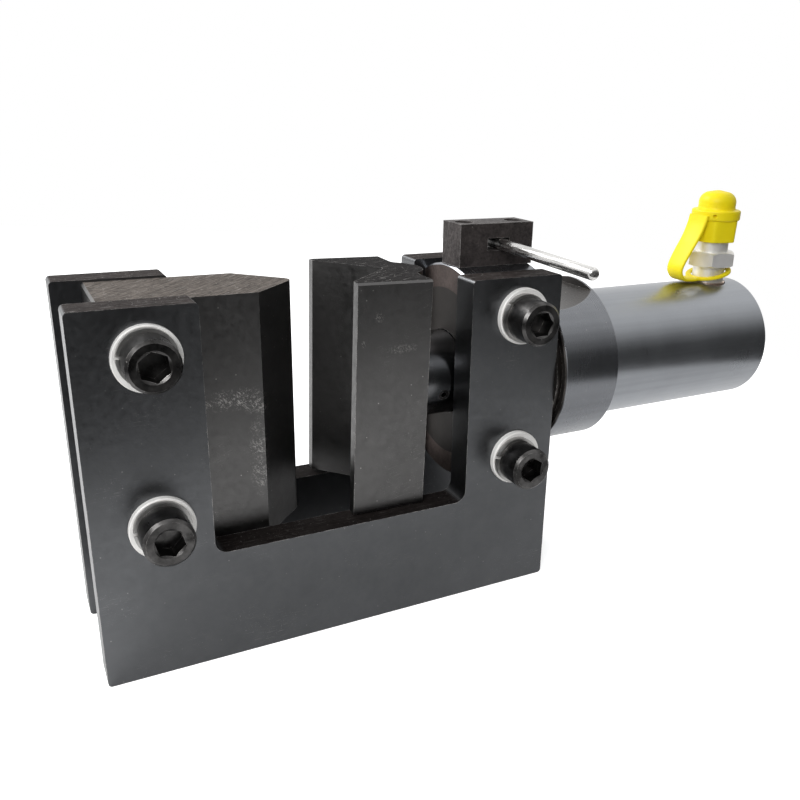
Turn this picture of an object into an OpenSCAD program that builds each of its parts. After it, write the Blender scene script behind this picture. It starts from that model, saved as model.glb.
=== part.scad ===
// Hydraulic bar bender: two notched side plates hold a fixed wedge die and a
// single-acting cylinder whose ram pushes a grooved die against the wedge.
// X runs along the ram, Y across the plates, Z up. Millimetres and degrees.

/* [Side plates] */
// Length of a side plate along the ram
plate_l = 234; // [225:1:260]
// Height of a side plate
plate_h = 172; // [165:0.5:190]
// Thickness of a side plate
plate_t = 16; // [12:0.5:20]
// Clear distance between the two side plates
plate_gap = 48; // [46:0.5:56]
// Distance from the plate's end to its notch
notch_x = 51.6; // [48:0.2:56]
// Width of the notch
notch_w = 130.4; // [126:0.2:132]
// Depth of the notch below the plates' top
notch_deep = 116.6; // [112:0.2:122]
// Radius in the lower corners of the notch
notch_r = 6; // [2:0.5:10]
// Radius on the outer corners of a plate
plate_corner_r = 2; // [0.5:0.5:4]

/* [Frame screws and washers] */
// Thread diameter of the frame screws
screw_d = 14; // [12:0.5:18]
// Length of a frame screw under its head
screw_l = 40; // [34:1:44]
// Diameter of a screw head
head_d = 22; // [19:0.5:24]
// Height of a screw head
head_h = 14; // [12:0.5:16]
// Bevel on the rim of a screw head
head_bevel = 1.2; // [0.5:0.1:2]
// Width across flats of the screw's hexagon socket
socket_af = 11.5; // [10:0.5:13]
// Depth of the hexagon socket
socket_deep = 8; // [4:0.5:9]
// Diameter of the round bevel at the socket's mouth
socket_mouth = 13.8; // [13.4:0.2:16]
// Distance of the left screw pair from the plate's end
screw_left_x = 29; // [26:0.5:34]
// Distance of the right screw pair from the plate's left end
screw_right_x = 209.5; // [206:0.5:214]
// Distance of the lower screws below the ram's axis
screw_drop = 39; // [37:0.2:41]
// Height between the lower and the upper screws
screw_pitch = 76.3; // [74:0.2:79]
// Outer diameter of a flat washer
washer_od = 28.6; // [26:0.2:30]
// Thickness of a flat washer
washer_t = 3; // [2:0.1:4.5]
// Diameter of the hole in a flat washer
washer_hole = 16.8; // [14.8:0.2:17.4]
// Outer diameter of a split spring washer
lock_od = 24.6; // [22:0.2:26]
// Thickness of a split spring washer
lock_t = 3; // [1.5:0.1:4]
// Width of the split in a spring washer
lock_split = 1.6; // [1:0.1:3]

// Turn of each screw about its axis: front lower left, upper left, lower right, upper right, then rear
screw_turns = [45, 37, 27, 2, 12, 51, 33, 20];
// Direction in which each flat washer hangs off its screw, in the same order
washer_hangs = [-74, -74, 10, 10, 85, 96, 88, 92];

/* [Fixed die] */
// Distance of the fixed die's rear face from the plates' end
die_x = 13.4; // [8:0.2:16]
// Length of the fixed die from its rear face to the shoulder of the nose
die_body_l = 68; // [64:0.5:70]
// Distance of the fixed die's underside below the notch floor
die_drop = 3.8; // [0:0.2:8]
// Depth of the fixed die's top below the plates' top
die_top_drop = 1.1; // [0:0.1:2]
// Radius on the tip of the nose
nose_r = 4.8; // [2:0.2:8]
// Bevel on the dies' outer top edges
die_bevel = 1; // [0.5:0.1:2]

/* [Moving die] */
// Distance of the wing tips from the plates' left end
wing_x = 123.6; // [121:0.2:126]
// Length of the wings along the ram
wing_l = 38.6; // [38:0.2:42]
// Half of the moving die's width
wing_half = 32.8; // [30:0.2:36]
// Width of the flat strip on each wing tip
wing_flat = 5.2; // [3:0.2:6]
// Radius in the root of the groove
groove_r = 1.5; // [0.5:0.25:4]
// Height of the moving die
moving_h = 116.8; // [110:0.2:118]
// Gap between the moving die and the notch floor
moving_gap = 0.4; // [0.3:0.1:1]
// Turn of the resting die about the ram's axis, its top towards the front
die_turn = 0.8; // [0:0.1:1.5]
// Lean of the resting die's top towards the ram
die_lean = 1.2; // [0:0.1:1.5]
// Radius of the half-round rib on the die's back
rib_r = 15.4; // [13:0.2:17]
// Reach of the rib behind the wings
rib_reach = 9.2; // [7:0.2:10]
// Radius of the blend between the rib and the wings
rib_blend_r = 5; // [3:0.5:6]
// Diameter of the spigot that enters the ram
spigot_d = 20; // [14:0.5:22]
// Length of the spigot behind the rib
spigot_l = 16; // [12:0.5:18]

/* [Ram and piston] */
// Depth of the ram's axis below the plates' top
ram_down = 57; // [55:0.5:59]
// Diameter of the ram
ram_d = 45; // [42:0.5:45.5]
// Gap between the moving die's wings and the ram's front face
ram_front_gap = 2; // [1.5:0.1:3]
// Bevel on the ram's front rim
ram_bevel = 1.2; // [0.5:0.1:2]
// Diameter of the cylinder bore
bore_d = 50; // [49:0.5:52]
// Length of the piston land
piston_l = 34; // [28:1:40]
// Travel of the ram
stroke = 38; // [20:1:40]
// Diameter of the ram's rear hollow, which holds the return spring
hollow_d = 26; // [24.5:0.5:28]
// Length of solid ram in front of the hollow, from the ram's front face
hollow_start = 45; // [40:1:60]
// Diameter of the set screw that holds the die's spigot
set_screw_d = 6; // [5:0.5:8]
// Distance of the set screw behind the ram's front face
set_screw_x = 13.5; // [8.5:0.5:15]
// Angle of the set screw below the horizontal
set_screw_tilt = 15.5; // [0:0.5:20]
// Width of the piston's guide ring
guide_ring_w = 6; // [4:0.5:8]
// Depth of the piston's guide ring
guide_ring_t = 1.5; // [1:0.1:2.5]
// Width of the piston seal
piston_seal_w = 6; // [4:0.5:8]
// Depth of the piston seal
piston_seal_t = 4; // [3:0.25:5]

/* [Cylinder head] */
// Distance of the head's front face from the plates' left end
flange_x = 189; // [187:0.5:192]
// Distance of the flange's rear face behind the plates
flange_past = 0.2; // [0.1:0.1:1]
// Radius of the flange
flange_r = 58; // [57.6:0.1:59]
// Diameter of the neck between flange and collar
neck_d = 84; // [80:1:88]
// Length of the neck
neck_l = 3.1; // [2:0.1:6]
// Diameter of the collar
collar_d = 91.4; // [88:0.2:96]
// Length of the collar
collar_l = 35.4; // [34:0.1:38]
// Bevel on the collar's rims
collar_bevel = 1; // [0.5:0.1:2]
// Radius of the scooped flat on top of the collar
scoop_r = 70.9; // [60:0.1:80]
// Distance of the scoop's deepest point behind the flange
scoop_x = 6.7; // [5:0.1:10]
// Height of the scoop's deepest point above the ram's axis
scoop_low = 35.2; // [34.5:0.1:38]
// Width of the full rim left behind the scoop
scoop_rim = 2.2; // [1.5:0.1:5]
// Diameter of the threaded socket for the tube
socket_d = 64; // [62:0.5:66]
// Depth of the socket
socket_l = 21.7; // [20:0.1:22.5]
// Wall of the ram's guide bush
bush_t = 3; // [2:0.25:4]
// Distance of the wiper ring behind the flange
wiper_inset = 1.8; // [1.6:0.1:2.4]
// Width of the wiper ring
wiper_w = 5; // [4:0.5:6]
// Depth of the wiper ring
wiper_t = 3.5; // [2.5:0.25:4.5]

/* [Cylinder tube] */
// Outer diameter of the tube
tube_d = 74; // [72:0.5:78]
// Length of the tube behind the collar
tube_l = 123; // [118:1:140]
// Thickness of the closed rear end
end_wall = 11.7; // [10:0.1:14]
// Bevel on the rear rim
tube_bevel = 1.2; // [0.5:0.1:3]
// Oil space behind the resting piston
oil_gap = 20; // [17:0.5:24]
// Thickness of the sealing ring between tube and head
tube_ring_t = 2.4; // [2:0.1:3]
// Wall of the stop sleeve that limits the travel
sleeve_t = 2; // [1.5:0.1:2.2]

/* [Return spring] */
// Wire diameter of the return spring
spring_wire = 3; // [2.5:0.1:3]
// Mean radius of the return spring
spring_r = 10; // [9.5:0.1:10.3]
// Number of coils of the return spring
spring_coils = 32; // [26:1:41]
// Thickness of the spring anchors
anchor_t = 5; // [4:0.5:7]
// Length of the pilot on each spring anchor
anchor_pilot_l = 8; // [4:0.5:10]

/* [Lever block] */
// Distance of the block's left face from the plates' left end
block_x = 191.3; // [190:0.1:193]
// Length of the block
block_l = 43.9; // [42:0.1:46]
// Width of the block
block_w = 18.8; // [15:0.2:20]
// Height of the block
block_h = 21.9; // [20:0.1:24]
// Height of the block's seat above the plates' top
block_rise = 0.4; // [0:0.1:0.5]
// Distance of the left block screw from the block's left face
block_screw_in = 7; // [6.5:0.5:8]
// Thread diameter of the block screws
block_screw_d = 5; // [4:0.5:5]
// Length of the block screws under their heads
block_screw_l = 25; // [22:1:28]
// Diameter of the block screws' heads
block_head_d = 8.5; // [7:0.5:8.5]
// Depth of the block screws' counterbores
block_cbore_deep = 6; // [5.5:0.5:7]
// Distance of the slot from the block's left face
slot_in = 16.3; // [15:0.1:17]
// Width of the slot
slot_w = 13.1; // [12:0.1:14]
// Height of the slot above the block's underside
slot_low = 7.9; // [7:0.1:9]

/* [Lever] */
// Diameter of the lever rod
lever_d = 6; // [5:0.1:6.5]
// Length of the rod from its pin to its tip
lever_l = 97.5; // [80:0.1:130]
// Length of the rod behind its pin
lever_tail = 3.5; // [3:0.25:4]
// Distance of the pin from the slot's left side
lever_pin_in = 8.7; // [7:0.1:9]
// Radius on the rim of the rod's tip
lever_tip_r = 2; // [0.5:0.25:2.5]
// Diameter of the pin
lever_pin_d = 3; // [2:0.1:3.5]
// Angle of the resting lever
lever_tilt = 4.5; // [0:0.5:10]

/* [Coupler] */
// Distance of the coupler from the tube's rear face
coupler_inset = 19.2; // [16:0.1:22]
// Diameter of the coupler's thread
coupler_thread_d = 17; // [14:0.5:18]
// Depth of the coupler's thread in the tube wall
coupler_thread_l = 8; // [6:0.5:9]
// Diameter of the shank below the hexagon
shank_d = 19; // [18:0.2:20]
// Height of the shank, from the seal to the hexagon
shank_l = 10.1; // [10:0.1:13]
// Width across flats of the hexagon
coupler_af = 26.2; // [25.4:0.2:28]
// Height of the hexagon
coupler_hex_h = 8.6; // [7:0.1:10]
// Angle of a corner of the hexagon
coupler_turn = 51; // [0:0.5:60]
// Diameter of the nipple
nipple_d = 19.6; // [19:0.2:20.4]
// Height of the nipple above the hexagon
nipple_l = 21.6; // [20:0.1:21.8]
// Thickness of the seal under the shank
coupler_seal_t = 1.5; // [1:0.1:2]
// Diameter of the oil passage
passage_d = 6; // [4:0.5:7]
// Diameter of the valve chamber
chamber_d = 13; // [12:0.5:14]
// Diameter of the valve's front opening
seat_d = 8; // [7:0.5:8.5]
// Wire diameter of the valve spring
valve_wire = 0.9; // [0.7:0.1:1]
// Mean radius of the valve spring
valve_spring_r = 4.2; // [4:0.1:4.4]
// Number of coils of the valve spring
valve_coils = 6; // [4:1:6]

/* [Dust cap and strap] */
// Height of the gap between the hexagon and the cap
cap_gap = 6.3; // [5:0.1:7]
// Width across flats of the cap's skirt at its foot
cap_af_low = 25; // [24.2:0.2:26]
// Width across flats of the cap's skirt at its top
cap_af_high = 25.8; // [24.6:0.2:26.4]
// Height of the cap's skirt
cap_skirt_h = 12.9; // [12:0.1:15]
// Angle of a corner of the skirt
cap_turn = 47; // [0:0.1:60]
// Angle of the small hole in the cap's rim
cap_hole_turn = 223; // [222:1:300]
// Diameter of the cap's rim
cap_rim_d = 28.8; // [28:0.2:32]
// Height of the cap's rim
cap_rim_h = 6.1; // [4:0.1:8]
// Diameter of the cap's dome
cap_dome_d = 22; // [20:0.2:24]
// Height of the cap's dome
cap_dome_h = 11.3; // [10:0.1:14]
// Radius on the dome's upper edge
cap_dome_r = 5; // [2:0.5:7]
// Thickness of the strap
strap_t = 2; // [1.5:0.1:2.2]
// Width of the strap at the cap
strap_w_high = 15.5; // [14:0.5:20]
// Width of the strap at its ring
strap_w_low = 11.5; // [10:0.5:16]
// Outer diameter of the strap's ring
strap_ring_d = 27.4; // [25:0.2:28]
// Tilt of the strap's ring
strap_ring_tilt = 13; // [8:0.2:14]

/* [Clearances] */
// Radial clearance of the ram in its bush and of the piston in its bore
run_gap = 0.06; // [0.02:0.01:0.1]
// Radial clearance of fixed round pieces in their bores
fit_gap = 0.05; // [0.02:0.01:0.1]
// Radial clearance of a screw in a plate or washer
screw_gap = 0.6; // [0.3:0.1:1]
// Clearance between flat faces that stay apart
face_gap = 0.2; // [0.1:0.05:0.4]
// Clearance of the lever in its slot, above and below
slot_gap = 0.2; // [0.1:0.05:0.3]

/* [Hidden] */
$fn = 96;

// Colours as the photograph shows them
plate_color = "#3a3c3e";
die_color = "#4a4540";
steel_color = "#b9bcc0";
zinc_color = "#c3c2bd";
black_color = "#1d1e20";
bronze_color = "#a87d3e";
rubber_color = "#202122";
seal_color = "#2c5f8a";
yellow_color = "#f2cf1d";

// A little more than nothing, for cuts that pass a face
eps = 0.5;
gap_half = plate_gap / 2;
plate_half = gap_half + plate_t;
notch_end = notch_x + notch_w;

// Heights, all taken from the plates' top
notch_floor = plate_h - notch_deep;
ram_z = plate_h - ram_down;
screw_low_z = ram_z - screw_drop;
die_low_z = notch_floor - die_drop;
die_top_z = plate_h - die_top_drop;
block_seat_z = plate_h + block_rise;

// Screws: pairs along X, at two heights
screw_xs = [screw_left_x, screw_right_x];
screw_zs = [screw_low_z, screw_low_z + screw_pitch];
stack_half = plate_half + washer_t + lock_t + head_h;
washer_slack = (washer_hole - screw_d) / 2 - 0.1;

// Fixed die: the nose faces stand at 45 degrees
nose_sharp_x = die_x + die_body_l + gap_half;
nose_tip_x = nose_sharp_x - nose_r * (sqrt(2) - 1);

// Moving die
wing_back_x = wing_x + wing_l;
groove_sharp_x = wing_x + wing_half - wing_flat;
moving_low_z = notch_floor + moving_gap + wing_half * sin(die_turn);
moving_top_z = moving_low_z + moving_h;
rib_x = wing_back_x + rib_reach - rib_r;
rib_end_x = rib_x + rib_r;
spigot_end_x = rib_end_x + spigot_l;
blend_x = wing_back_x + rib_blend_r;
blend_y = sqrt(pow(rib_r + rib_blend_r, 2) - pow(blend_x - rib_x, 2));

// Head and tube along the ram
flange_end_x = plate_l + flange_past;
flange_l = flange_end_x - flange_x;
collar_start_x = flange_end_x + neck_l;
collar_end_x = collar_start_x + collar_l;
socket_start_x = collar_end_x - socket_l;
tube_end_x = collar_end_x + tube_l;
bore_end_x = tube_end_x - end_wall;
wiper_x = flange_end_x + wiper_inset;
bush_start_x = wiper_x + wiper_w + 0.4;
bush_r = ram_d / 2 + run_gap;
bush_out_r = bush_r + bush_t;

// Ram, piston and its rings
ram_x = wing_back_x + ram_front_gap;
hollow_x = ram_x + hollow_start;
piston_end_x = bore_end_x - oil_gap;
piston_x = piston_end_x - piston_l;
piston_r = bore_d / 2 - run_gap;
guide_ring_x = piston_x + 5;
piston_seal_x = guide_ring_x + guide_ring_w + 6;
ring_r = bore_d / 2 - 0.02;
set_screw_top_r = ram_d / 2 - 0.4;
set_screw_low_r = spigot_d / 2 + fit_gap;

// Return spring between its anchors
front_face_x = hollow_x + anchor_t;
rear_face_x = bore_end_x - anchor_t;
pilot_r = spring_r * cos(22.5) - spring_wire / 2 - 0.3;
seat_gap = 0.02;
anchor_r = hollow_d / 2 - fit_gap;

// Lever block
block_cx = block_x + block_l / 2;
block_top_z = block_seat_z + block_h;
block_screw_xs = [block_x + block_screw_in, block_x + block_l - block_screw_in];
slot_x = block_x + slot_in;
slot_h = lever_d + 2 * slot_gap;
slot_z = block_seat_z + slot_low;
lever_x = slot_x + lever_pin_in;
lever_z = slot_z + slot_h / 2;

// Coupler, all on a vertical line through the tube
coupler_x = tube_end_x - coupler_inset;
tube_top_z = ram_z + tube_d / 2;
coupler_seal_r = shank_d / 2 + 1;
spot_r = coupler_seal_r + 0.4;
spot_z = ram_z + sqrt(pow(tube_d / 2, 2) - pow(spot_r, 2)) - 0.2;
shank_z = spot_z + coupler_seal_t;
hex_z = shank_z + shank_l;
hex_top_z = hex_z + coupler_hex_h;
nipple_top_z = hex_top_z + nipple_l;
thread_low_z = spot_z - coupler_thread_l;
seat_z = nipple_top_z - 4;
retainer_z = hex_z + 1;
retainer_t = 2.5;
poppet_face_z = seat_z - 2.9;
poppet_stem_r = 1.6;

// Dust cap
cap_z = hex_top_z + cap_gap;
cap_rim_z = cap_z + cap_skirt_h;
cap_dome_z = cap_rim_z + cap_rim_h;
cap_top_z = cap_dome_z + cap_dome_h;
cap_bore_r = nipple_d / 2 + 0.5;
cap_bore_top_z = nipple_top_z + 1;

// Strap: route in the plane of the coupler and the ram, from the cap's rim down to the
// ring, as steps away from the coupler's axis and above the tube
strap_ring_z = tube_top_z + 0.6 + strap_t / 2 + strap_ring_d / 2 * sin(strap_ring_tilt);
strap_route = [
  [-cap_rim_d / 2 + 0.8, cap_rim_z + cap_rim_h / 2 - tube_top_z],
  [-cap_rim_d / 2 - 0.7, cap_rim_z + cap_rim_h / 2 - tube_top_z - 6],
  [-18.4, 27.2],
  [-23.4, 19],
  [-26.9, 12.6],
  [-28.1, 8.6],
  [-27, 5.2],
  [-24, 2.6],
  [-18.4, 1.8],
  [-12.4, strap_ring_z - tube_top_z - 12.4 * tan(strap_ring_tilt)]
];

// The model stands with its origin under the middle of its whole box
row_len = max(tube_end_x, coupler_x + coupler_af / 2 / cos(30));
row_front = max(stack_half, lever_l * cos(lever_tilt));
row_shift = [-row_len / 2, (row_front - stack_half) / 2, 0];

// A cylinder along +X on the ram's axis
module ram_rod(x, length, r) {
  translate([x, 0, ram_z]) rotate([0, 90, 0]) cylinder(h = length, r = r);
}

// A cone along +X on the ram's axis
module ram_cone(x, length, r1, r2) {
  translate([x, 0, ram_z]) rotate([0, 90, 0]) cylinder(h = length, r1 = r1, r2 = r2);
}

// A ring along +X on the ram's axis
module ram_ring(x, length, r_in, r_out) {
  difference() {
    ram_rod(x, length, r_out);
    ram_rod(x - eps, length + 2 * eps, r_in);
  }
}

// A profile turned about the ram's axis: radius across, X along
module ram_turned(x) {
  translate([x, 0, ram_z]) rotate([0, 90, 0]) rotate_extrude() children();
}

// A hexagonal prism, given across its flats
module hex_prism(af, h) {
  cylinder(r = af / 2 / cos(30), h = h, $fn = 6);
}

// Rectangle with rounded corners, from exact squares and circles
module round_rect(w, h, r) {
  translate([r, 0]) square([w - 2 * r, h]);
  translate([0, r]) square([w, h - 2 * r]);
  for (x = [r, w - r])
    for (y = [r, h - r])
      translate([x, y]) circle(r = r);
}

// The notch, open at the top, with round lower corners
module notch_shape() {
  translate([notch_x + notch_r, notch_floor]) square([notch_w - 2 * notch_r, plate_h]);
  translate([notch_x, notch_floor + notch_r]) square([notch_w, plate_h]);
  for (x = [notch_x + notch_r, notch_end - notch_r])
    translate([x, notch_floor + notch_r]) circle(r = notch_r);
}

// Rounds the two upper corners beside the notch
module arm_corners() {
  for (s = [[notch_x, 0], [notch_end, 1]])
    translate([s[0], plate_h]) mirror([s[1], 0])
      translate([-plate_corner_r, -plate_corner_r]) difference() {
        square([plate_corner_r + eps, plate_corner_r + eps]);
        circle(r = plate_corner_r);
      }
}

// Side plate seen from the front, extruded from its inner face outwards
module side_plate() {
  rotate([90, 0, 0]) linear_extrude(plate_t) difference() {
    round_rect(plate_l, plate_h, plate_corner_r);
    notch_shape();
    arm_corners();
    for (x = screw_xs)
      for (z = screw_zs)
        translate([x, z]) circle(d = screw_d + 2 * screw_gap);
  }
}

module front_plate() {
  color(plate_color) translate(row_shift) translate([0, -gap_half, 0]) side_plate();
}

module rear_plate() {
  color(plate_color) translate(row_shift) translate([0, plate_half, 0]) side_plate();
}

// Places children at every frame screw, with +Z outwards from the plate's outer face
module at_frame_screws(turns) {
  for (i = [0:7]) {
    s = i < 4 ? -1 : 1;
    x = screw_xs[floor(i / 2) % 2];
    z = screw_zs[i % 2];
    translate([x, s * plate_half, z]) rotate([s * -90, 0, 0]) rotate([0, 0, turns[i]]) children();
  }
}

// One socket-head screw, its head's underside at z = 0 and its shank below
module cap_screw(d, length, hd, hh, af, deep, bevel, mouth) {
  difference() {
    union() {
      cylinder(d = hd, h = hh - bevel);
      translate([0, 0, hh - bevel]) cylinder(d1 = hd, d2 = hd - 2 * bevel, h = bevel);
      translate([0, 0, -length + 1]) cylinder(d = d, h = length);
      translate([0, 0, -length]) cylinder(d1 = d - 2, d2 = d, h = 1);
    }
    translate([0, 0, hh - deep]) hex_prism(af, deep + eps);
    translate([0, 0, hh - (mouth - af) / 3]) cylinder(d1 = af, d2 = mouth, h = (mouth - af) / 3 + 0.001);
  }
}

module frame_screws() {
  color(black_color) translate(row_shift) at_frame_screws(screw_turns)
    translate([0, 0, washer_t + lock_t])
      cap_screw(screw_d, screw_l, head_d, head_h, socket_af, socket_deep, head_bevel, socket_mouth);
}

module flat_washers() {
  color(zinc_color) translate(row_shift) at_frame_screws(washer_hangs)
    translate([washer_slack, 0, 0]) difference() {
      union() {
        cylinder(d = washer_od, h = washer_t - 0.4);
        translate([0, 0, washer_t - 0.4]) cylinder(d1 = washer_od, d2 = washer_od - 0.8, h = 0.4);
      }
      translate([0, 0, -eps]) cylinder(d = washer_hole, h = washer_t + 2 * eps);
    }
}

module spring_washers() {
  color(steel_color) translate(row_shift) at_frame_screws(screw_turns)
    translate([0, 0, washer_t]) difference() {
      cylinder(d = lock_od, h = lock_t);
      translate([0, 0, -eps]) cylinder(d = screw_d + screw_gap, h = lock_t + 2 * eps);
      rotate([0, 0, 140]) rotate([20, 0, 0])
        translate([0, -lock_split / 2, -lock_t * 2]) cube([lock_od, lock_split, lock_t * 5]);
    }
}

// Wedge outline seen from above: a block with a 45 degree nose and a round tip
module nose_shape() {
  tip = nose_sharp_x - nose_r * sqrt(2);
  t = nose_r / sqrt(2);
  polygon([
    [die_x, -gap_half],
    [die_x + die_body_l, -gap_half],
    [tip + t, -t],
    [tip + t, t],
    [die_x + die_body_l, gap_half],
    [die_x, gap_half]
  ]);
  translate([tip, 0]) circle(r = nose_r);
}

module fixed_die() {
  color(die_color) translate(row_shift) difference() {
    translate([0, 0, die_low_z]) linear_extrude(die_top_z - die_low_z) nose_shape();
    for (z = screw_zs)
      translate([screw_left_x, 0, z]) rotate([90, 0, 0])
        cylinder(d = screw_d + 2 * fit_gap, h = plate_gap + 2, center = true);
    translate([die_x, 0, die_top_z]) rotate([0, 45, 0])
      cube([die_bevel * sqrt(2), plate_gap + 2, die_bevel * sqrt(2)], center = true);
  }
}

// Groove seen from above: two 45 degree faces and a round root
module groove_shape() {
  root = groove_sharp_x - groove_r * sqrt(2);
  t = groove_r / sqrt(2);
  w = wing_half - wing_flat;
  polygon([
    [wing_x - eps, -w],
    [wing_x, -w],
    [root + t, -t],
    [root + t, t],
    [wing_x, w],
    [wing_x - eps, w]
  ]);
  translate([root, 0]) circle(r = groove_r);
}

// Half-round rib with hollow blends into the wings' back
module rib_shape() {
  k = rib_r / (rib_r + rib_blend_r);
  tx = rib_x + (blend_x - rib_x) * k;
  translate([rib_x, 0]) circle(r = rib_r);
  for (s = [-1, 1])
    difference() {
      polygon([
        [rib_x, 0],
        [rib_x, s * blend_y],
        [blend_x, s * blend_y],
        [tx, s * blend_y * k]
      ]);
      translate([blend_x, s * blend_y]) circle(r = rib_blend_r);
    }
}

// Turns and leans children about the ram's axis where it leaves the wings
module die_pose() {
  translate([wing_back_x, 0, ram_z]) rotate([die_turn, die_lean, 0])
    translate([-wing_back_x, 0, -ram_z]) children();
}

module moving_die() {
  color(die_color) translate(row_shift) {
    die_pose() difference() {
      translate([0, 0, moving_low_z]) linear_extrude(moving_h) difference() {
        union() {
          translate([wing_x, -wing_half]) square([wing_l, 2 * wing_half]);
          rib_shape();
        }
        groove_shape();
      }
      for (s = [-1, 1])
        translate([wing_x, s * wing_half, moving_top_z]) rotate([45, 0, 0])
          cube([3 * wing_l, die_bevel * sqrt(2), die_bevel * sqrt(2)], center = true);
    }
    ram_rod(rib_x + 5, spigot_end_x - rib_x - 6, spigot_d / 2);
    ram_cone(spigot_end_x - 1, 1, spigot_d / 2, spigot_d / 2 - 1);
  }
}

// Places children at the set screw, +Z outwards from the ram's axis
module at_set_screw() {
  translate([ram_x + set_screw_x, 0, ram_z]) rotate([90 + set_screw_tilt, 0, 0]) children();
}

module ram() {
  color(steel_color) translate(row_shift) difference() {
    union() {
      ram_cone(ram_x, ram_bevel, ram_d / 2 - ram_bevel, ram_d / 2);
      ram_rod(ram_x + ram_bevel, piston_x - ram_x, ram_d / 2);
      ram_cone(piston_x, 1, piston_r - 1, piston_r);
      ram_rod(piston_x + 1, piston_l - 2, piston_r);
      ram_cone(piston_end_x - 1, 1, piston_r, piston_r - 1);
    }
    die_pose() translate([rib_x, 0, ram_z - ram_d]) cylinder(r = rib_r + 0.25, h = 2 * ram_d);
    ram_rod(ram_x - eps, spigot_end_x + 1 - ram_x + eps, spigot_d / 2 + fit_gap);
    ram_rod(hollow_x, piston_end_x - hollow_x + eps, hollow_d / 2);
    at_set_screw() cylinder(d = set_screw_d + 2 * fit_gap, h = ram_d);
    ram_ring(guide_ring_x - 0.1, guide_ring_w + 0.2, ring_r - guide_ring_t - 0.05, bore_d);
    ram_ring(piston_seal_x - 0.1, piston_seal_w + 0.2, ring_r - piston_seal_t - 0.05, bore_d);
  }
}

module die_set_screw() {
  color(black_color) translate(row_shift) at_set_screw() translate([0, 0, set_screw_low_r]) difference() {
    union() {
      translate([0, 0, 0.8]) cylinder(d = set_screw_d, h = set_screw_top_r - set_screw_low_r - 0.8);
      cylinder(d1 = set_screw_d - 1.6, d2 = set_screw_d, h = 0.8);
    }
    translate([0, 0, set_screw_top_r - set_screw_low_r - 3.5]) hex_prism(set_screw_d / 2, 3.5 + eps);
  }
}

module piston_guide_ring() {
  color(bronze_color) translate(row_shift)
    ram_ring(guide_ring_x, guide_ring_w, ring_r - guide_ring_t, ring_r);
}

// Cup seal, its groove open towards the oil
module piston_seal() {
  r_in = ring_r - piston_seal_t;
  w = piston_seal_w;
  m = piston_seal_t / 2;
  color(seal_color) translate(row_shift) ram_turned(piston_seal_x)
    polygon([
      [r_in, 0],
      [ring_r, 0],
      [ring_r, w - 0.3],
      [ring_r - 0.4, w],
      [r_in + m + 0.3, w - 2.6],
      [r_in + m - 0.3, w - 2.6],
      [r_in + 0.4, w],
      [r_in, w - 0.3]
    ]);
}

module stop_sleeve() {
  color(steel_color) translate(row_shift)
    ram_ring(
      socket_start_x + 0.05,
      piston_x - stroke - face_gap - socket_start_x,
      bore_d / 2 - fit_gap - sleeve_t,
      bore_d / 2 - fit_gap
    );
}

// Wiper with a raised lip around the ram
module wiper_ring() {
  r_out = ram_d / 2 + wiper_t;
  r_in = ram_d / 2 + run_gap;
  color(seal_color) translate(row_shift) ram_turned(wiper_x)
    polygon([
      [r_in, 0],
      [r_in + 0.5, -1.2],
      [r_in + 1.1, -1.2],
      [r_in + 1.8, 0],
      [r_out, 0],
      [r_out, wiper_w],
      [r_in, wiper_w]
    ]);
}

module guide_bush() {
  color(bronze_color) translate(row_shift)
    ram_ring(bush_start_x, socket_start_x - bush_start_x, bush_r, bush_out_r);
}

module tube_o_ring() {
  color(rubber_color) translate(row_shift) ram_turned(socket_start_x + 5)
    translate([socket_d / 2 - tube_ring_t / 2 - fit_gap, 0]) circle(d = tube_ring_t);
}

// Front anchor, fixed in the bottom of the ram's hollow
module spring_front_anchor() {
  color(steel_color) translate(row_shift) {
    ram_rod(hollow_x, anchor_t, anchor_r);
    ram_rod(hollow_x, anchor_t + anchor_pilot_l, pilot_r);
  }
}

// Rear anchor, fixed to the tube's end wall
module spring_rear_anchor() {
  color(steel_color) translate(row_shift) {
    ram_rod(rear_face_x, anchor_t, anchor_r);
    ram_rod(rear_face_x - anchor_pilot_l, anchor_t + anchor_pilot_l, pilot_r);
  }
}

// A coil's route, unrolled: pairs of height and distance round the coil. It leaves each
// seat straight for one wire, bends round, and winds evenly between.
function coil_route(r, wire, length, coils) =
  let (
    first = 2 * wire,
    last = length - 2 * wire,
    step = (last - first) / (coils * 8),
    arc = 2 * PI * r / 8
  )
  concat(
    [[0, 0], [wire, 0]],
    [for (a = [67.5, 45, 22.5]) [wire + wire * cos(a), wire * (1 - sin(a))]],
    [for (k = [0:coils * 8]) [first + step * k, wire + arc * k]],
    [
      for (a = [22.5, 45, 67.5, 90])
        [last + wire * (1 - cos(a)), wire + arc * coils * 8 + wire * sin(a)]
    ],
    [[length, 2 * wire + arc * coils * 8]]
  );

function coil_angle(r, p) = p[1] / r * 180 / PI;

function coil_points(r, wire, length, coils) = [
  for (p = coil_route(r, wire, length, coils))
    [r * cos(coil_angle(r, p)), r * sin(coil_angle(r, p)), p[0]]
];

function unit(v) = v / norm(v);

// Least distance between a coil's surface and its own next turn
function coil_gap(points, wire) = min([
  for (i = [0:len(points) - 1])
    for (j = [i + 6:min(i + 14, len(points) - 1)])
      if (j < len(points)) norm(points[i] - points[j]) - wire
]);

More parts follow.
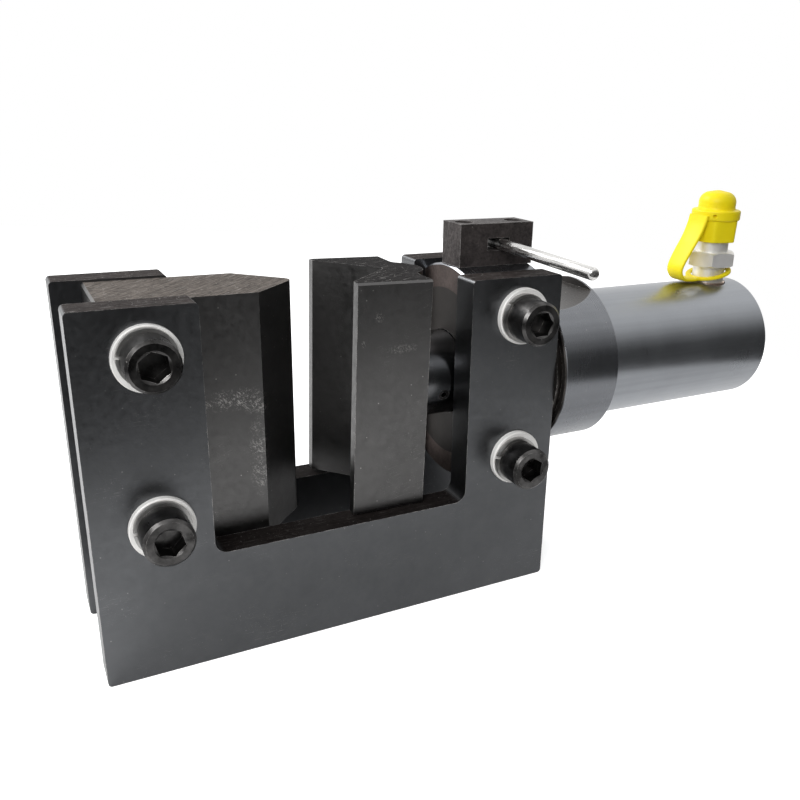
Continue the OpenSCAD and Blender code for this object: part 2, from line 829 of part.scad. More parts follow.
// Closed tube of six sides swept along a coil
module coil(r, wire, length, coils) {
  c = coil_points(r, wire, length, coils);
  n = len(c);
  rings = [
    for (i = [0:n - 1])
      let (
        t = i == 0 || i == n - 1 ? [0, 0, 1] : unit(c[i + 1] - c[i - 1]),
        out = unit([c[i][0], c[i][1], 0]),
        side = unit(cross(t, out)),
        flat = cross(side, t)
      )
      for (a = [0:60:300])
        c[i] + wire / 2 * (cos(a) * flat + sin(a) * side)
  ];
  walls = [
    for (i = [0:n - 2])
      for (j = [0:5])
        let (a = i * 6 + j, b = i * 6 + (j + 1) % 6)
        for (f = [[a, a + 6, b + 6], [a, b + 6, b]])
          f
  ];
  ends = [[for (j = [0:5]) j], [for (j = [5:-1:0]) (n - 1) * 6 + j]];
  echo(coil_gap = coil_gap(c, wire));
  polyhedron(points = rings, faces = concat(walls, ends));
}

module return_spring() {
  color(steel_color) translate(row_shift) translate([front_face_x + seat_gap, 0, ram_z]) rotate([0, 90, 0])
    coil(spring_r, spring_wire, rear_face_x - front_face_x - 2 * seat_gap, spring_coils);
}

// The scoop, kept between the flange and the full rim
module scoop() {
  intersection() {
    translate([flange_end_x + scoop_x, 0, ram_z + scoop_low + scoop_r]) rotate([90, 0, 0])
      cylinder(r = scoop_r, h = 2 * collar_d, center = true);
    translate([flange_end_x, -collar_d, ram_z])
      cube([collar_end_x - scoop_rim - flange_end_x, 2 * collar_d, collar_d]);
  }
}

// Flange between the plates: a disc cut flat on both sides
module flange() {
  intersection() {
    union() {
      ram_cone(flange_x, 1, flange_r - 1, flange_r);
      ram_rod(flange_x + 1, flange_l - 2, flange_r);
      ram_cone(flange_end_x - 1, 1, flange_r, flange_r - 1);
    }
    translate([flange_x - eps, -gap_half, ram_z - flange_r - eps])
      cube([flange_l + 2 * eps, plate_gap, block_seat_z - ram_z + flange_r + eps]);
  }
}

module cylinder_head() {
  color(black_color) translate(row_shift) difference() {
    union() {
      flange();
      ram_rod(flange_end_x, neck_l + 1, neck_d / 2);
      ram_cone(collar_start_x, collar_bevel, collar_d / 2 - collar_bevel, collar_d / 2);
      ram_rod(collar_start_x + collar_bevel, collar_l - 2 * collar_bevel, collar_d / 2);
      ram_cone(collar_end_x - collar_bevel, collar_bevel, collar_d / 2, collar_d / 2 - collar_bevel);
    }
    scoop();
    ram_rod(flange_x - eps, bush_start_x - flange_x + 2 * eps, ram_d / 2 + 0.4);
    ram_rod(wiper_x - 1.4, wiper_w + 1.4, ram_d / 2 + wiper_t + fit_gap);
    ram_rod(bush_start_x, socket_start_x - bush_start_x + eps, bush_out_r + fit_gap);
    ram_rod(socket_start_x, socket_l + eps, socket_d / 2);
    for (z = screw_zs)
      translate([screw_right_x, 0, z]) rotate([90, 0, 0])
        cylinder(d = screw_d + 2 * fit_gap, h = plate_gap + 2, center = true);
    for (x = block_screw_xs)
      translate([x, 0, block_top_z - block_cbore_deep - block_screw_l - 3])
        cylinder(d = block_screw_d + 2 * fit_gap, h = block_screw_l + block_cbore_deep);
  }
}

module cylinder_tube() {
  color(black_color) translate(row_shift) difference() {
    union() {
      ram_rod(socket_start_x + face_gap / 2, socket_l + 2, socket_d / 2 - fit_gap);
      ram_rod(collar_end_x + face_gap / 2, tube_l - tube_bevel - face_gap / 2, tube_d / 2);
      ram_cone(tube_end_x - tube_bevel, tube_bevel, tube_d / 2, tube_d / 2 - tube_bevel);
    }
    ram_rod(socket_start_x - eps, bore_end_x - socket_start_x + eps, bore_d / 2);
    ram_ring(
      socket_start_x + 5 - tube_ring_t / 2 - 0.2,
      tube_ring_t + 0.4,
      socket_d / 2 - tube_ring_t - fit_gap - 0.1,
      socket_d
    );
    translate([coupler_x, 0, spot_z]) cylinder(r = spot_r, h = tube_d);
    translate([coupler_x, 0, thread_low_z - 1]) cylinder(d = coupler_thread_d + 2 * fit_gap, h = tube_d);
    translate([coupler_x, 0, ram_z + bore_d / 4]) cylinder(d = passage_d, h = tube_d);
  }
}

module pin_block() {
  color(die_color) translate(row_shift) difference() {
    translate([block_x, -block_w / 2, block_seat_z]) cube([block_l, block_w, block_h]);
    translate([slot_x, -block_w, slot_z]) cube([slot_w, 2 * block_w, slot_h]);
    for (x = block_screw_xs) {
      translate([x, 0, block_top_z - block_cbore_deep]) cylinder(d = block_head_d + 1, h = block_h);
      translate([x, 0, block_seat_z - eps]) cylinder(d = block_screw_d + screw_gap, h = block_h);
    }
    translate([lever_x, 0, block_seat_z - eps])
      cylinder(d = lever_pin_d + 2 * fit_gap, h = slot_low + slot_h + 4 + eps);
  }
}

module block_screws() {
  color(black_color) translate(row_shift) for (x = block_screw_xs)
    translate([x, 0, block_top_z - block_cbore_deep])
      cap_screw(block_screw_d, block_screw_l, block_head_d, block_screw_d, 4, 2.5, 0.5, 5);
}

// Straight rod through the slot, round at its tip, on an upright pin
module lever() {
  color(steel_color) translate(row_shift) translate([lever_x, 0, lever_z]) rotate([0, 0, -lever_tilt])
    difference() {
      union() {
        translate([0, lever_tail, 0]) rotate([90, 0, 0])
          cylinder(d = lever_d, h = lever_tail + lever_l - lever_tip_r);
        translate([0, -lever_l + lever_tip_r, 0]) rotate([90, 0, 0]) rotate_extrude() {
          translate([0, -0.5]) square([lever_d / 2 - lever_tip_r, lever_tip_r + 0.5]);
          translate([lever_d / 2 - lever_tip_r, 0]) intersection() {
            circle(r = lever_tip_r);
            square(lever_tip_r);
          }
        }
      }
      cylinder(d = lever_pin_d + 2 * run_gap, h = 2 * lever_d, center = true);
    }
}

module lever_pin() {
  color(steel_color) translate(row_shift) translate([lever_x, 0, block_seat_z + 0.4])
    cylinder(d = lever_pin_d, h = slot_low + slot_h + 3.2);
}

module coupler_body() {
  color(zinc_color) translate(row_shift) translate([coupler_x, 0, 0]) difference() {
    union() {
      translate([0, 0, thread_low_z]) cylinder(d = coupler_thread_d, h = shank_z - thread_low_z + 1);
      translate([0, 0, shank_z]) cylinder(d = shank_d, h = shank_l + 1);
      intersection() {
        translate([0, 0, hex_z]) rotate([0, 0, coupler_turn]) hex_prism(coupler_af, coupler_hex_h);
        union() {
          translate([0, 0, hex_z]) cylinder(d1 = coupler_af + 1, d2 = coupler_af + 6, h = 1.5);
          translate([0, 0, hex_z + 1.5]) cylinder(d = coupler_af + 6, h = coupler_hex_h - 3);
          translate([0, 0, hex_top_z - 1.5]) cylinder(d1 = coupler_af + 6, d2 = coupler_af + 1, h = 1.5);
        }
      }
      translate([0, 0, hex_top_z - 1]) cylinder(d = nipple_d, h = nipple_l);
      translate([0, 0, nipple_top_z - 1]) cylinder(d1 = nipple_d, d2 = nipple_d - 2, h = 1);
    }
    translate([0, 0, thread_low_z - eps]) cylinder(d = passage_d, h = retainer_z - thread_low_z + 1);
    translate([0, 0, retainer_z]) cylinder(d = chamber_d, h = seat_z - retainer_z - 2);
    translate([0, 0, seat_z - 2]) cylinder(d1 = chamber_d, d2 = seat_d, h = (chamber_d - seat_d) / 2);
    translate([0, 0, seat_z - 2]) cylinder(d = seat_d, h = 20);
    translate([0, 0, nipple_top_z - 8.5]) difference() {
      cylinder(d = nipple_d + 2, h = 2.4);
      translate([0, 0, -eps]) cylinder(d = nipple_d - 4, h = 2.4 + 2 * eps);
    }
  }
}

module coupler_seal() {
  color(bronze_color) translate(row_shift) translate([coupler_x, 0, spot_z]) difference() {
    cylinder(r = coupler_seal_r, h = coupler_seal_t);
    translate([0, 0, -eps]) cylinder(d = coupler_thread_d + 2 * fit_gap, h = coupler_seal_t + 2 * eps);
  }
}

// Valve: a button in the front opening, a cone on the seat and a stem in the retainer
module coupler_poppet() {
  color(steel_color) translate(row_shift) translate([coupler_x, 0, 0]) {
    translate([0, 0, poppet_face_z]) cylinder(d = chamber_d - 1.4, h = 1.1);
    translate([0, 0, poppet_face_z + 1.1])
      cylinder(d1 = chamber_d - 1.4, d2 = seat_d - 1, h = (chamber_d - seat_d) / 2 - 0.2);
    translate([0, 0, poppet_face_z]) cylinder(d = seat_d - 1, h = nipple_top_z - poppet_face_z - 0.4);
    translate([0, 0, retainer_z]) cylinder(r = poppet_stem_r, h = poppet_face_z - retainer_z + 1);
  }
}

module coupler_retainer() {
  color(steel_color) translate(row_shift) translate([coupler_x, 0, retainer_z]) difference() {
    cylinder(d = chamber_d - 2 * fit_gap, h = retainer_t);
    translate([0, 0, -eps]) cylinder(r = poppet_stem_r + run_gap, h = retainer_t + 2 * eps);
    for (a = [0:90:270])
      rotate([0, 0, a]) translate([3.2, 0, -eps]) cylinder(d = 1.8, h = retainer_t + 2 * eps);
  }
}

module coupler_spring() {
  color(steel_color) translate(row_shift) translate([coupler_x, 0, retainer_z + retainer_t])
    coil(valve_spring_r, valve_wire, poppet_face_z - retainer_z - retainer_t, valve_coils);
}

module nipple_o_ring() {
  color(rubber_color) translate(row_shift) translate([coupler_x, 0, nipple_top_z - 7.3])
    rotate_extrude() translate([nipple_d / 2 - 0.85, 0]) circle(d = 2);
}

module dust_cap() {
  color(yellow_color) translate(row_shift) translate([coupler_x, 0, 0]) difference() {
    union() {
      translate([0, 0, cap_z]) rotate([0, 0, cap_turn])
        cylinder(
          r1 = cap_af_low / 2 / cos(30),
          r2 = cap_af_high / 2 / cos(30),
          h = cap_skirt_h + 0.5,
          $fn = 6
        );
      rotate_extrude() {
        translate([0, cap_rim_z]) square([cap_rim_d / 2 - 1, cap_rim_h]);
        translate([0, cap_rim_z + 1]) square([cap_rim_d / 2, cap_rim_h - 2]);
        for (z = [cap_rim_z + 1, cap_dome_z - 1])
          translate([cap_rim_d / 2 - 1, z]) circle(r = 1);
        translate([0, cap_dome_z - 1]) square([cap_dome_d / 2, cap_dome_h + 1 - cap_dome_r]);
        translate([0, cap_dome_z]) square([cap_dome_d / 2 - cap_dome_r, cap_dome_h]);
        translate([cap_dome_d / 2 - cap_dome_r, cap_top_z - cap_dome_r]) intersection() {
          circle(r = cap_dome_r);
          square(cap_dome_r);
        }
      }
    }
    translate([0, 0, cap_z - eps]) cylinder(r = cap_bore_r, h = cap_bore_top_z - cap_z + eps);
    translate([0, 0, cap_rim_z + cap_rim_h / 2]) rotate([0, 0, cap_hole_turn])
      translate([cap_rim_d / 2 - 3, 0, 0]) rotate([0, 90, 0]) cylinder(d = 2.2, h = 5);
  }
}

// A smooth curve through the route's points, four steps to each
function curve_point(p0, p1, p2, p3, t) =
  0.5 * (2 * p1 + (p2 - p0) * t + (2 * p0 - 5 * p1 + 4 * p2 - p3) * t * t
    + (3 * p1 - p0 - 3 * p2 + p3) * t * t * t);

function curve(p) =
  let (n = len(p) - 1)
  concat(
    [
      for (i = [0:n - 1])
        for (t = [0:0.25:0.75])
          curve_point(p[max(i - 1, 0)], p[i], p[i + 1], p[min(i + 2, n)], t)
    ],
    [p[n]]
  );

// Flat band swept along the route in the XZ plane, narrower towards its ring
module strap_band() {
  c = curve(strap_route);
  n = len(c);
  points = [
    for (i = [0:n - 1])
      let (
        t = unit(c[min(i + 1, n - 1)] - c[max(i - 1, 0)]),
        side = [-t[1], t[0]] * strap_t / 2,
        w = (strap_w_high + (strap_w_low - strap_w_high) * min(1, i / (n - 9))) / 2
      )
      for (q = [[1, 1], [1, -1], [-1, -1], [-1, 1]])
        [c[i][0] + q[0] * side[0], q[1] * w, c[i][1] + q[0] * side[1]]
  ];
  walls = [
    for (i = [0:n - 2])
      for (j = [0:3])
        let (a = i * 4 + j, b = i * 4 + (j + 1) % 4)
        for (f = [[a, a + 4, b + 4], [a, b + 4, b]])
          f
  ];
  ends = [[0, 1, 2, 3], [for (j = [3:-1:0]) (n - 1) * 4 + j]];
  polyhedron(points = points, faces = concat(walls, ends));
}

module cap_strap() {
  color(yellow_color) translate(row_shift) translate([coupler_x, 0, 0]) difference() {
    union() {
      translate([0, 0, tube_top_z]) strap_band();
      translate([0, 0, strap_ring_z]) rotate([0, -strap_ring_tilt, 0])
        cylinder(d = strap_ring_d, h = strap_t + 0.4, center = true);
    }
    translate([0, 0, strap_ring_z]) rotate([0, -strap_ring_tilt, 0])
      cylinder(d = shank_d + 1.8, h = 10, center = true);
    translate([0, 0, cap_rim_z - 2]) cylinder(r = cap_rim_d / 2 + 0.02, h = cap_rim_h + 4);
    translate([0, 0, cap_z - 1]) rotate([0, 0, cap_turn])
      cylinder(r = (cap_af_high / 2 + fit_gap) / cos(30), h = cap_skirt_h + 2, $fn = 6);
  }
}

front_plate();
rear_plate();
fixed_die();
moving_die();
ram();
die_set_screw();
piston_seal();
piston_guide_ring();
stop_sleeve();
wiper_ring();
guide_bush();
tube_o_ring();
return_spring();
spring_front_anchor();
spring_rear_anchor();
cylinder_head();
cylinder_tube();
frame_screws();
flat_washers();
spring_washers();
pin_block();
block_screws();
lever();
lever_pin();
coupler_body();
coupler_seal();
coupler_poppet();
coupler_spring();
coupler_retainer();
nipple_o_ring();
dust_cap();
cap_strap();
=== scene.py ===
"""Looks of a hydraulic bar bender: finishes, dust cap, strap, springs and studio."""

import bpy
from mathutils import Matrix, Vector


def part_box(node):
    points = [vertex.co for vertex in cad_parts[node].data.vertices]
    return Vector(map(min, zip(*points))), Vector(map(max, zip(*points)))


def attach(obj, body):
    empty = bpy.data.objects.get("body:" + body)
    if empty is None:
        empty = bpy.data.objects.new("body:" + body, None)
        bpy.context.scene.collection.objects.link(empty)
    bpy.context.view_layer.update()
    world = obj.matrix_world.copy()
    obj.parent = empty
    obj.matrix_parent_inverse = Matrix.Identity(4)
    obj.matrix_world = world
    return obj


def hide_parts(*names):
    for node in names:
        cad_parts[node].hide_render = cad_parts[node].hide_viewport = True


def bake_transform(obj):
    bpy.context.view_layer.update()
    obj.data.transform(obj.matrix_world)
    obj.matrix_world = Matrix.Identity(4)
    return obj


bl_info = {
    "name": "Hydraulic Bar Bender",
    "version": (1, 0, 0),
    "blender": (4, 5, 0),
    "location": "View3D > Sidebar > Bar Bender",
    "description": "Finishes and soft pieces of a hydraulic bar bender around its solid parts",
    "category": "Object",
}

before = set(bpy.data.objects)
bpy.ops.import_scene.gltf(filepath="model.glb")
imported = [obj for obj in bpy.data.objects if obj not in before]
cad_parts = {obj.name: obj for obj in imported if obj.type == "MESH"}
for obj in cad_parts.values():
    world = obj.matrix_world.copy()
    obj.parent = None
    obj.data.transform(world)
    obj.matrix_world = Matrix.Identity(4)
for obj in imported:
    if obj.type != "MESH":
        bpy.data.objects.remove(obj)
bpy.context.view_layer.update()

import math

import bmesh
import bpy
from bpy.props import (
    BoolProperty,
    FloatProperty,
    FloatVectorProperty,
    IntProperty,
    PointerProperty,
)
from mathutils import Matrix, Vector

MM = 0.001
UP = (0, 0, 1)
TOWARDS_DIES = (-1, 0, 0)
CAP_LOW, CAP_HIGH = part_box("dust_cap")
CAP_AXIS = Vector(((CAP_LOW.x + CAP_HIGH.x) / 2, (CAP_LOW.y + CAP_HIGH.y) / 2, 0))
CAP_FOOT, CAP_TOP = CAP_LOW.z, CAP_HIGH.z
STRAP_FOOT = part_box("cap_strap")[0].z
TUBE_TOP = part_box("cylinder_tube")[1].z
RAM_LOW, RAM_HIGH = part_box("ram")
MID_Y = (RAM_LOW.y + RAM_HIGH.y) / 2
RAM_AXIS_Z = (RAM_LOW.z + RAM_HIGH.z) / 2
# Middle of the strap's band: millimetres beside the cap's axis, and above the tube
STRAP_ROUTE = (
    (-18.4, 27.2),
    (-23.4, 19.0),
    (-26.9, 12.6),
    (-28.1, 8.6),
    (-27.0, 5.2),
    (-24.0, 2.6),
    (-18.4, 1.8),
)
SMOOTH_BELOW = math.radians(32)
LAMP_AIM = Vector((0, 0, 0.09))


def number(name, description, default, low=0, high=1, **more):
    """A property that holds one number."""
    return FloatProperty(
        name=name, description=description, default=default, min=low, max=high, **more
    )


def length(name, description, millimetres, low=0.1, high=300):
    """A length property given in millimetres."""
    return number(
        name, description, millimetres * MM, low * MM, high * MM, unit="LENGTH", precision=4
    )


def angle(name, description, degrees):
    """An angle property given in degrees."""
    turn = 2 * math.pi
    return number(name, description, math.radians(degrees), -turn, turn, subtype="ANGLE")


def vector(name, description, default, **more):
    """A property that holds a place, a direction or a corner."""
    return FloatVectorProperty(
        name=name, description=description, size=len(default), default=default, **more
    )


def colour(name, description, default):
    """A colour property, written as the linear colour that the surface shows."""
    return vector(name, description, default, subtype="COLOR", min=0, max=1)


class BenderCamera(bpy.types.PropertyGroup):
    """Where the picture is taken from."""

    place: vector(
        "Place",
        "Where the camera stands",
        (-0.21975, -0.36375, 0.24940),
        subtype="TRANSLATION",
        unit="LENGTH",
        precision=5,
    )
    right: vector(
        "Right",
        "Direction that points right in the picture",
        (0.882817, -0.468973, 0.026425),
        subtype="DIRECTION",
        precision=6,
    )
    ahead: vector(
        "Ahead",
        "Direction that points into the picture",
        (0.449975, 0.828234, -0.333991),
        subtype="DIRECTION",
        precision=6,
    )
    frame_width: number("Frame", "Width of the picture's frame in millimetres", 36, 10, 100)
    lens: number("Lens", "Focal length in millimetres", 37.716, 10, 200)
    shift_x: number("Shift X", "Sideways shift of the frame", -0.04707, -1, 1, precision=5)
    shift_y: number("Shift Y", "Upward shift of the frame", 0.00664, -1, 1, precision=5)


class BenderFinishes(bpy.types.PropertyGroup):
    """Colours and wear of the finishes."""

    plate: colour("Side plates", "Satin oxide on the side plates", (0.113, 0.116, 0.121))
    plate_top: colour("Plate tops", "Sawn upper faces of the plates", (0.024, 0.020, 0.019))
    die: colour("Dies", "Satin oxide on the dies", (0.118, 0.116, 0.115))
    wedge_top: colour("Wedge top", "Brown-grey sawn top of the wedge", (0.085, 0.074, 0.066))
    die_top: colour("Grooved die top", "Dark sawn top", (0.010, 0.009, 0.009))
    block: colour("Lever block", "Black skin of the lever's block", (0.043, 0.037, 0.036))
    ram: colour("Ram", "Glossy oxide on the ram", (0.125, 0.127, 0.132))
    tube: colour("Tube", "Glossy oxide on the cylinder's tube", (0.32, 0.333, 0.355))
    head: colour("Head", "Glossy oxide on the cylinder's head", (0.22, 0.228, 0.244))
    flange: colour("Flange face", "Raw brown face of the flange", (0.115, 0.092, 0.085))
    # Painted shade: dark colour for the hollow cuts in the cylinder's head
    scoop_shade: colour("Scoop", "Dark milled cuts in the cylinder's head", (0.060, 0.055, 0.052))
    bare: colour("Bare steel", "Steel where the oxide has worn off", (0.62, 0.60, 0.58))
    screw: colour("Screws", "Black oxide on the socket screws", (0.075, 0.073, 0.072))
    zinc: colour("Zinc", "Bright plating of the washers", (0.86, 0.85, 0.83))
    coupler: colour("Coupler", "Pale plating of the hose coupler", (0.80, 0.79, 0.77))
    rod: colour("Lever", "Polished rod", (0.80, 0.79, 0.77))
    bronze: colour("Bronze", "Guide bush and guide ring", (0.52, 0.33, 0.13))
    copper: colour("Copper", "Sealing ring under the coupler", (0.60, 0.45, 0.36))
    seal: colour("Seals", "Polyurethane seals", (0.03, 0.12, 0.28))
    rubber: colour("Rubber", "Black rubber rings", (0.012, 0.012, 0.012))
    vinyl: colour("Cap", "Yellow of the dust cap and its strap", (0.88, 0.735, 0.008))
    wear: number("Wear", "How far edges and rubbed faces are worn bright", 0.75, subtype="FACTOR")
    edge: length("Edge wear", "Width of the worn line along an edge", 0.55, 0.1, 3)


class BenderCap(bpy.types.PropertyGroup):
    """Sizes of the dust cap."""

    skirt_low: length("Skirt at its foot", "Width across the flats of the skirt, below", 25)
    skirt_high: length("Skirt at its top", "Width across the flats of the skirt, above", 25.8)
    skirt_height: length("Skirt height", "Height of the hexagonal skirt", 12.9)
    skirt_round: length("Skirt corners", "How far the skirt's corners are rounded", 0.5, 0.1, 3)
    skirt_turn: angle("Skirt turn", "Direction of one corner of the skirt", 47)
    foot_round: length("Foot edge", "Radius on the skirt's lower edge", 0.7, 0.1, 2)
    rim: length("Rim", "Diameter of the rim", 28.8)
    rim_height: length("Rim height", "Height of the rim", 6.1)
    rim_round: length("Rim edges", "Radius on the rim's edges", 1.1, 0.1, 3)
    dome: length("Dome", "Diameter of the dome", 22)
    dome_round: length("Dome edge", "Radius on the dome's upper edge", 6.4)
    dome_rise: length("Dome rise", "How far the dome's top is arched", 0.8, 0.1, 3)
    bore: length("Bore", "Diameter of the hollow for the nipple", 20.6)
    bore_height: length("Bore height", "Depth of the hollow", 16.3)
    hole: length("Small hole", "Diameter of the small hole in the rim", 2.2, 0.5, 5)
    hole_depth: length("Small hole depth", "Depth of the small hole", 2.2, 0.1, 4)
    hole_turn: angle("Hole turn", "Direction of the small hole in the rim", 223)
    segments: IntProperty(
        name="Segments", description="Faces round the cap", default=192, min=48, max=360
    )


class BenderStrap(bpy.types.PropertyGroup):
    """Sizes of the strap that keeps the dust cap."""

    width_high: length("Width at the cap", "Width of the band at the cap", 15.3)
    width_low: length("Width at the ring", "Width of the band at its ring", 11.3)
    thick: length("Thickness", "Thickness of band and ring", 1.9, 0.5, 4)
    ring: length("Ring", "Outer diameter of the ring", 27.3)
    hole: length("Ring hole", "Hole of the ring round the coupler", 20.9)
    tilt: angle("Ring tilt", "Tilt of the ring", 13)


class BenderSprings(bpy.types.PropertyGroup):
    """Sizes of the two coil springs."""

    return_wire: length("Return wire", "Wire of the return spring", 3.0)
    return_radius: length("Return radius", "Mean radius of the return spring", 10)
    return_coils: IntProperty(
        name="Return coils", description="Turns of the return spring", default=32, min=4
    )
    valve_wire: length("Valve wire", "Wire of the valve spring", 0.9)
    valve_radius: length("Valve radius", "Mean radius of the valve spring", 4.2)
    valve_coils: IntProperty(
        name="Valve coils", description="Turns of the valve spring", default=6, min=3
    )


class BenderStage(bpy.types.PropertyGroup):
    """Floor, background and lamps."""

    floor: colour("Floor", "Colour of the floor", (0.86, 0.86, 0.86))
    floor_low: vector(
        "Floor's near left", "Near left corner of the sheet", (-1.2, -0.30), unit="LENGTH"
    )
    floor_high: vector(
        "Floor's far right", "Far right corner of the sheet", (0.37, 1.3), unit="LENGTH"
    )
    floor_turn: angle("Floor turn", "Turn of the white sheet", -28)
    glow: number(
        "Floor glow", "Share of white that the camera sees in the floor", 0.65, subtype="FACTOR"
    )
    mirror: number(
        "Mirrored glow", "Share of the floor's glow that metal mirrors", 0.2, subtype="FACTOR"
    )
    bright_side: vector(
        "Bright side",
        "Direction in which the mirrored room gets lighter",
        (-0.35, 1.0, 1.5),
        subtype="DIRECTION",
    )
    dark_until: number("Dark until", "How far the room's dark front reaches", -0.66, -3, 3)
    white_from: number("White from", "Where the room is fully light", 0.5, -3, 3)
    dark: number("Dark front", "Level of the room's dark front", 0.08)
    sky: number("Sky", "Level of the room's light side", 1.05, 0, 3)
    ambient: number("Ambient", "Share of the room that lights dull surfaces", 0.62)
    key: number("Key lamp", "Strength of the large lamp", 11.5, 0, 200, unit="POWER")
    side: number("Side lamp", "Strength of the left lamp", 8.5, 0, 200, unit="POWER")
    shadow: BoolProperty(name="Shadow", description="Lamps cast shadows", default=True)


class Nodes:
    """A node tree whose nodes are added in few words."""

    def __init__(self, tree):
        self.tree = tree

    def put(self, socket, value):
        """Gives a socket a plain value, or links it."""
        if isinstance(value, bpy.types.NodeSocket):
            self.tree.links.new(value, socket)
        elif hasattr(value, "__len__") and socket.type == "RGBA":
            socket.default_value = (*tuple(value)[:3], 1)
        else:
            socket.default_value = value

    def add(self, kind, inputs=None, **settings):
        """A new node with its inputs and settings."""
        node = self.tree.nodes.new(kind)
        for name, value in settings.items():
            setattr(node, name, value)
        for name, value in (inputs or {}).items():
            self.put(node.inputs[name], value)
        return node

    def between(self, value, low, high, to_low=0.0, to_high=1.0):
        """Value stretched from low..high to to_low..to_high, and clamped."""
        ends = {"From Min": low, "From Max": high, "To Min": to_low, "To Max": to_high}
        return self.add("ShaderNodeMapRange", {"Value": value, **ends}).outputs["Result"]

    def chain(self, operation, values):
        """Arithmetic from the first value to the last."""
        result = values[0]
        for value in values[1:]:
            node = self.add("ShaderNodeMath", {0: result, 1: value}, operation=operation)
            result = node.outputs[0]
        return result

    def plus(self, *values):
        """All the values added."""
        return self.chain("ADD", values)

    def times(self, *values):
        """All the values multiplied."""
        return self.chain("MULTIPLY", values)

    def either(self, *values):
        """The largest of the values."""
        return self.chain("MAXIMUM", values)

    def arrow(self, operation, *values):
        """One step of vector arithmetic: its vector, or the number of a product or a length."""
        node = self.add("ShaderNodeVectorMath", dict(enumerate(values)), operation=operation)
        return node.outputs["Value" if operation in ("DOT_PRODUCT", "LENGTH") else "Vector"]


class Finish(Nodes):
    """A material in the making."""

    def __init__(self, name):
        self.material = bpy.data.materials.new(name)
        self.material.use_nodes = True
        super().__init__(self.material.node_tree)
        self.surface = self.tree.nodes["Principled BSDF"]
        self.place = self.add("ShaderNodeTexCoord").outputs["Object"]

    def set(self, socket, value):
        """Gives a socket of the surface a plain value, or links it."""
        self.put(self.surface.inputs[socket], value)

    def stretched(self, scale, turn=None):
        """Object coordinates, turned first and then scaled along each axis."""
        kind, place = "ShaderNodeMapping", self.place
        if turn is not None:
            place = self.add(kind, {"Vector": place, "Rotation": turn}).outputs["Vector"]
        return self.add(kind, {"Vector": place, "Scale": scale}).outputs["Vector"]

    def noise(self, scale, detail, rough=0.55, place=None):
        """Cloudy pattern from 0 to 1, its scale in clouds to the metre."""
        inputs = {"Scale": scale, "Detail": detail, "Roughness": rough}
        inputs["Vector"] = place or self.place
        return self.add("ShaderNodeTexNoise", inputs).outputs["Fac"]

    def mix(self, share, first, second):
        """Two colours mixed by a share."""
        node = self.add("ShaderNodeMix", data_type="RGBA")
        for index, value in ((0, share), (6, first), (7, second)):
            self.put(node.inputs[index], value)
        return node.outputs[2]

    def clouded(self, base, pattern, dark, light):
        """A base colour that runs from dark to light times itself along a pattern."""
        return self.mix(pattern, shade(base, dark), shade(base, light))

    def axis(self, name):
        """One of the place's three coordinates."""
        return self.add("ShaderNodeSeparateXYZ", {0: self.place}).outputs[name]

    def facing(self, direction, low=0.7, high=0.95):
        """1 on faces that look along a direction."""
        normal = self.add("ShaderNodeNewGeometry").outputs["True Normal"]
        return self.between(self.arrow("DOT_PRODUCT", normal, direction), low, high)

    def edges(self, width):
        """1 along sharp edges, within a width."""
        soft = self.add("ShaderNodeBevel", {"Radius": width}, samples=6).outputs["Normal"]
        hard = self.add("ShaderNodeNewGeometry").outputs["True Normal"]
        return self.between(self.arrow("DOT_PRODUCT", soft, hard), 0.97, 0.7)

    def near(self, place, reach):
        """1 around a place, fading to 0 at its reach along each axis."""
        away = self.arrow("SUBTRACT", self.place, place)
        away = self.arrow("MULTIPLY", away, tuple(1 / r for r in reach))
        return self.between(self.arrow("LENGTH", away), 1.0, 0.45)

    def specks(self, spacing, size, share):
        """Small dots in some of the cells of a given spacing, in metres."""
        cells = self.add("ShaderNodeTexVoronoi", {"Vector": self.place, "Scale": 1 / spacing})
        dot = self.between(cells.outputs["Distance"], size / spacing, 0.4 * size / spacing)
        pick = self.add("ShaderNodeSeparateColor", {0: cells.outputs["Color"]}).outputs["Red"]
        return self.times(dot, self.between(pick, share, share - 0.02))

    def scratches(self, turn, length, thin, low, high):
        """Fine broken lines along one direction, in metres long and thin."""
        across = (1 / thin, 1 / thin, 1 / length)
        return self.between(self.noise(1, 2, 0.5, self.stretched(across, turn)), low, high)

    def bump(self, height, depth, strength):
        """Relief of a height pattern, its depth in metres."""
        inputs = {"Height": height, "Distance": depth, "Strength": strength}
        self.set("Normal", self.add("ShaderNodeBump", inputs).outputs["Normal"])


def shade(base, factor):
    """A colour, darker or lighter by a factor."""
    return tuple(min(1.0, factor * c) for c in base)


def show(material, *nodes):
    """Gives solid parts a finish."""
    for name in nodes:
        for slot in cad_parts[name].material_slots:
            slot.material = material


